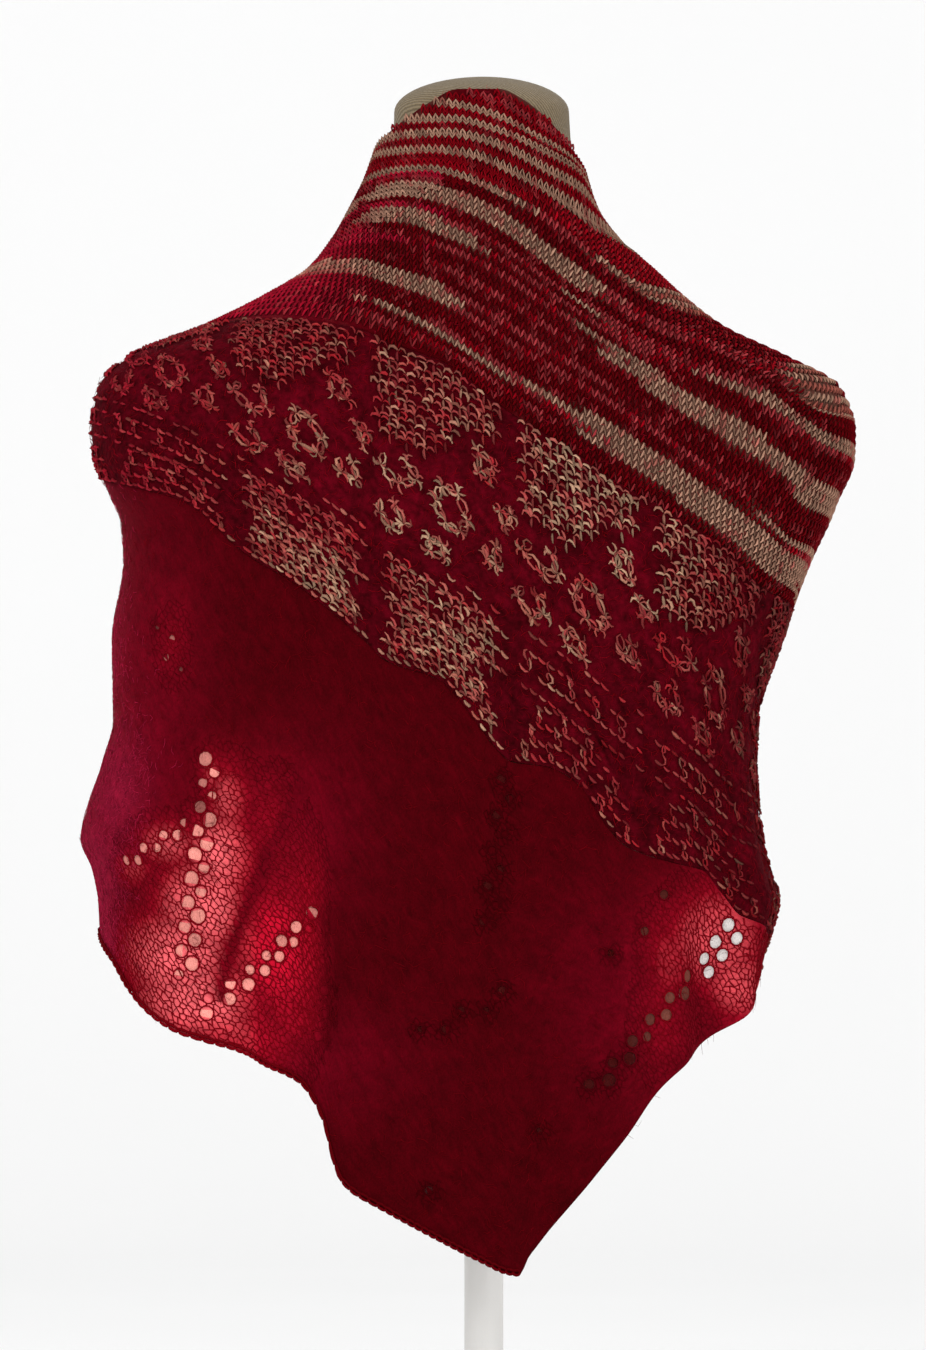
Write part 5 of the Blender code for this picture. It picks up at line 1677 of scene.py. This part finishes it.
# Camera, light and floor
def addCamera():
    x = (photo["centreX"] - photo["midX"]) * photo["scale"]
    z = cloth["tipHeight"] + (photo["tipY"] - photo["centreY"]) * photo["scale"]
    lens = bpy.data.cameras.new("camera")
    reach = camera["distance"] + camera["scalePlane"]
    lens.sensor_fit = "VERTICAL"
    lens.sensor_height = camera["sensor"]
    lens.lens = camera["sensor"] * reach / (photo["height"] * photo["scale"])
    made = bpy.data.objects.new("camera", lens)
    made.location = (x, -camera["distance"], z)
    made.rotation_euler = (math.radians(90), 0.0, 0.0)
    bpy.context.scene.collection.objects.link(made)
    bpy.context.scene.camera = made


def addLight(name, place, aim, size, power):
    lamp = bpy.data.lights.new(name, "AREA")
    lamp.size = size
    lamp.energy = power
    made = bpy.data.objects.new(name, lamp)
    made.location = place
    direction = np.array(aim, float) - np.array(place, float)
    tilt = math.atan2(math.hypot(direction[0], direction[1]), -direction[2])
    heading = math.atan2(direction[1], direction[0])
    made.rotation_euler = (tilt, 0.0, heading - math.pi / 2)
    bpy.context.scene.collection.objects.link(made)


studio = {
    "floorReach": 5.0,
    "floorGap": 0.0005,     # under the stand
    "floorWall": 3.0,
    "floorBend": 1.0,
    "wallHeight": 5.0,
    "world": 0.85,
}


def addStudio():
    world = bpy.data.worlds.new("studio")
    world.use_nodes = True
    background = world.node_tree.nodes["Background"]
    background.inputs["Color"].default_value = (1.0, 1.0, 1.0, 1.0)
    background.inputs["Strength"].default_value = studio["world"]
    bpy.context.scene.world = world
    reach, wallAt, bend = studio["floorReach"], studio["floorWall"], studio["floorBend"]
    bends = np.radians(np.arange(0, 91, 6))
    curve = [(wallAt + bend * math.sin(turn), bend - bend * math.cos(turn)) for turn in bends]
    profile = [(-reach, 0.0)] + curve + [(wallAt + bend, studio["wallHeight"])]
    points = [(x, y, z - studio["floorGap"]) for y, z in profile for x in (-reach, reach)]
    faces = [(2 * i, 2 * i + 1, 2 * i + 3, 2 * i + 2) for i in range(len(profile) - 1)]
    mesh = newMesh("floor", points, faces)
    mesh.shade_smooth()
    paint = Paint("pale floor", Roughness=0.9)
    clouds = paint.noise(0.6)
    # clear from behind, so that the wall hides nothing from a camera there
    behind = paint.add("NewGeometry", out="Backfacing")
    sides = {0: behind, 1: Socket(paint, paint.shader.outputs[0]), 2: paint.add("BsdfTransparent")}
    paint.feed(paint.tree.nodes["Material Output"].inputs["Surface"], paint.add("MixShader", None, sides))
    colour = paint.mixed(clouds, (0.93, 0.93, 0.93, 1), (0.96, 0.96, 0.96, 1))
    mesh.materials.append(paint.finish(Base_Color=colour))
    floor = addObject("floor", mesh)


addCamera()
addStudio()
addLight("key", (-1.2, -2.6, 2.2), (0.0, 0.0, 0.45), 1.6, 55.0)
addLight("fill", (1.8, -2.2, 1.2), (0.0, 0.0, 0.45), 1.4, 22.0)
bpy.context.scene.view_settings.view_transform = "Standard"
print("camera, light and floor placed")

finishes = {
    "garter_yarn": (collarYarn, collarShell),
    "striped_yarn": (stripeYarn, stripeShell, stripeFuzz),
    "mosaic_yarn": (mosaicYarn, mosaicShell, mosaicFuzz),
    "mohair": (netYarn, netVeil, netPaintedLight, netFuzz, edgeFuzz, edgeYarn),
    "jersey": (formSkin,),
    "painted_wood": (endCapPiece,),
    "painted_metal": (pole, basePlate),
}
for slotName, slotPieces in finishes.items():
    for piece in slotPieces:
        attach(piece, "root")
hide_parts("collar_garter")
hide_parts("striped_section")
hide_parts("mosaic_section")
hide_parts("mohair_left", "mohair_right")
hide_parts("bindoff_edge")
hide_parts("dress_form")
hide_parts("form_end_cap")
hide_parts("stand_pole")
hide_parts("stand_base")
print("pieces:", sum(len(slotPieces) for slotPieces in finishes.values()))
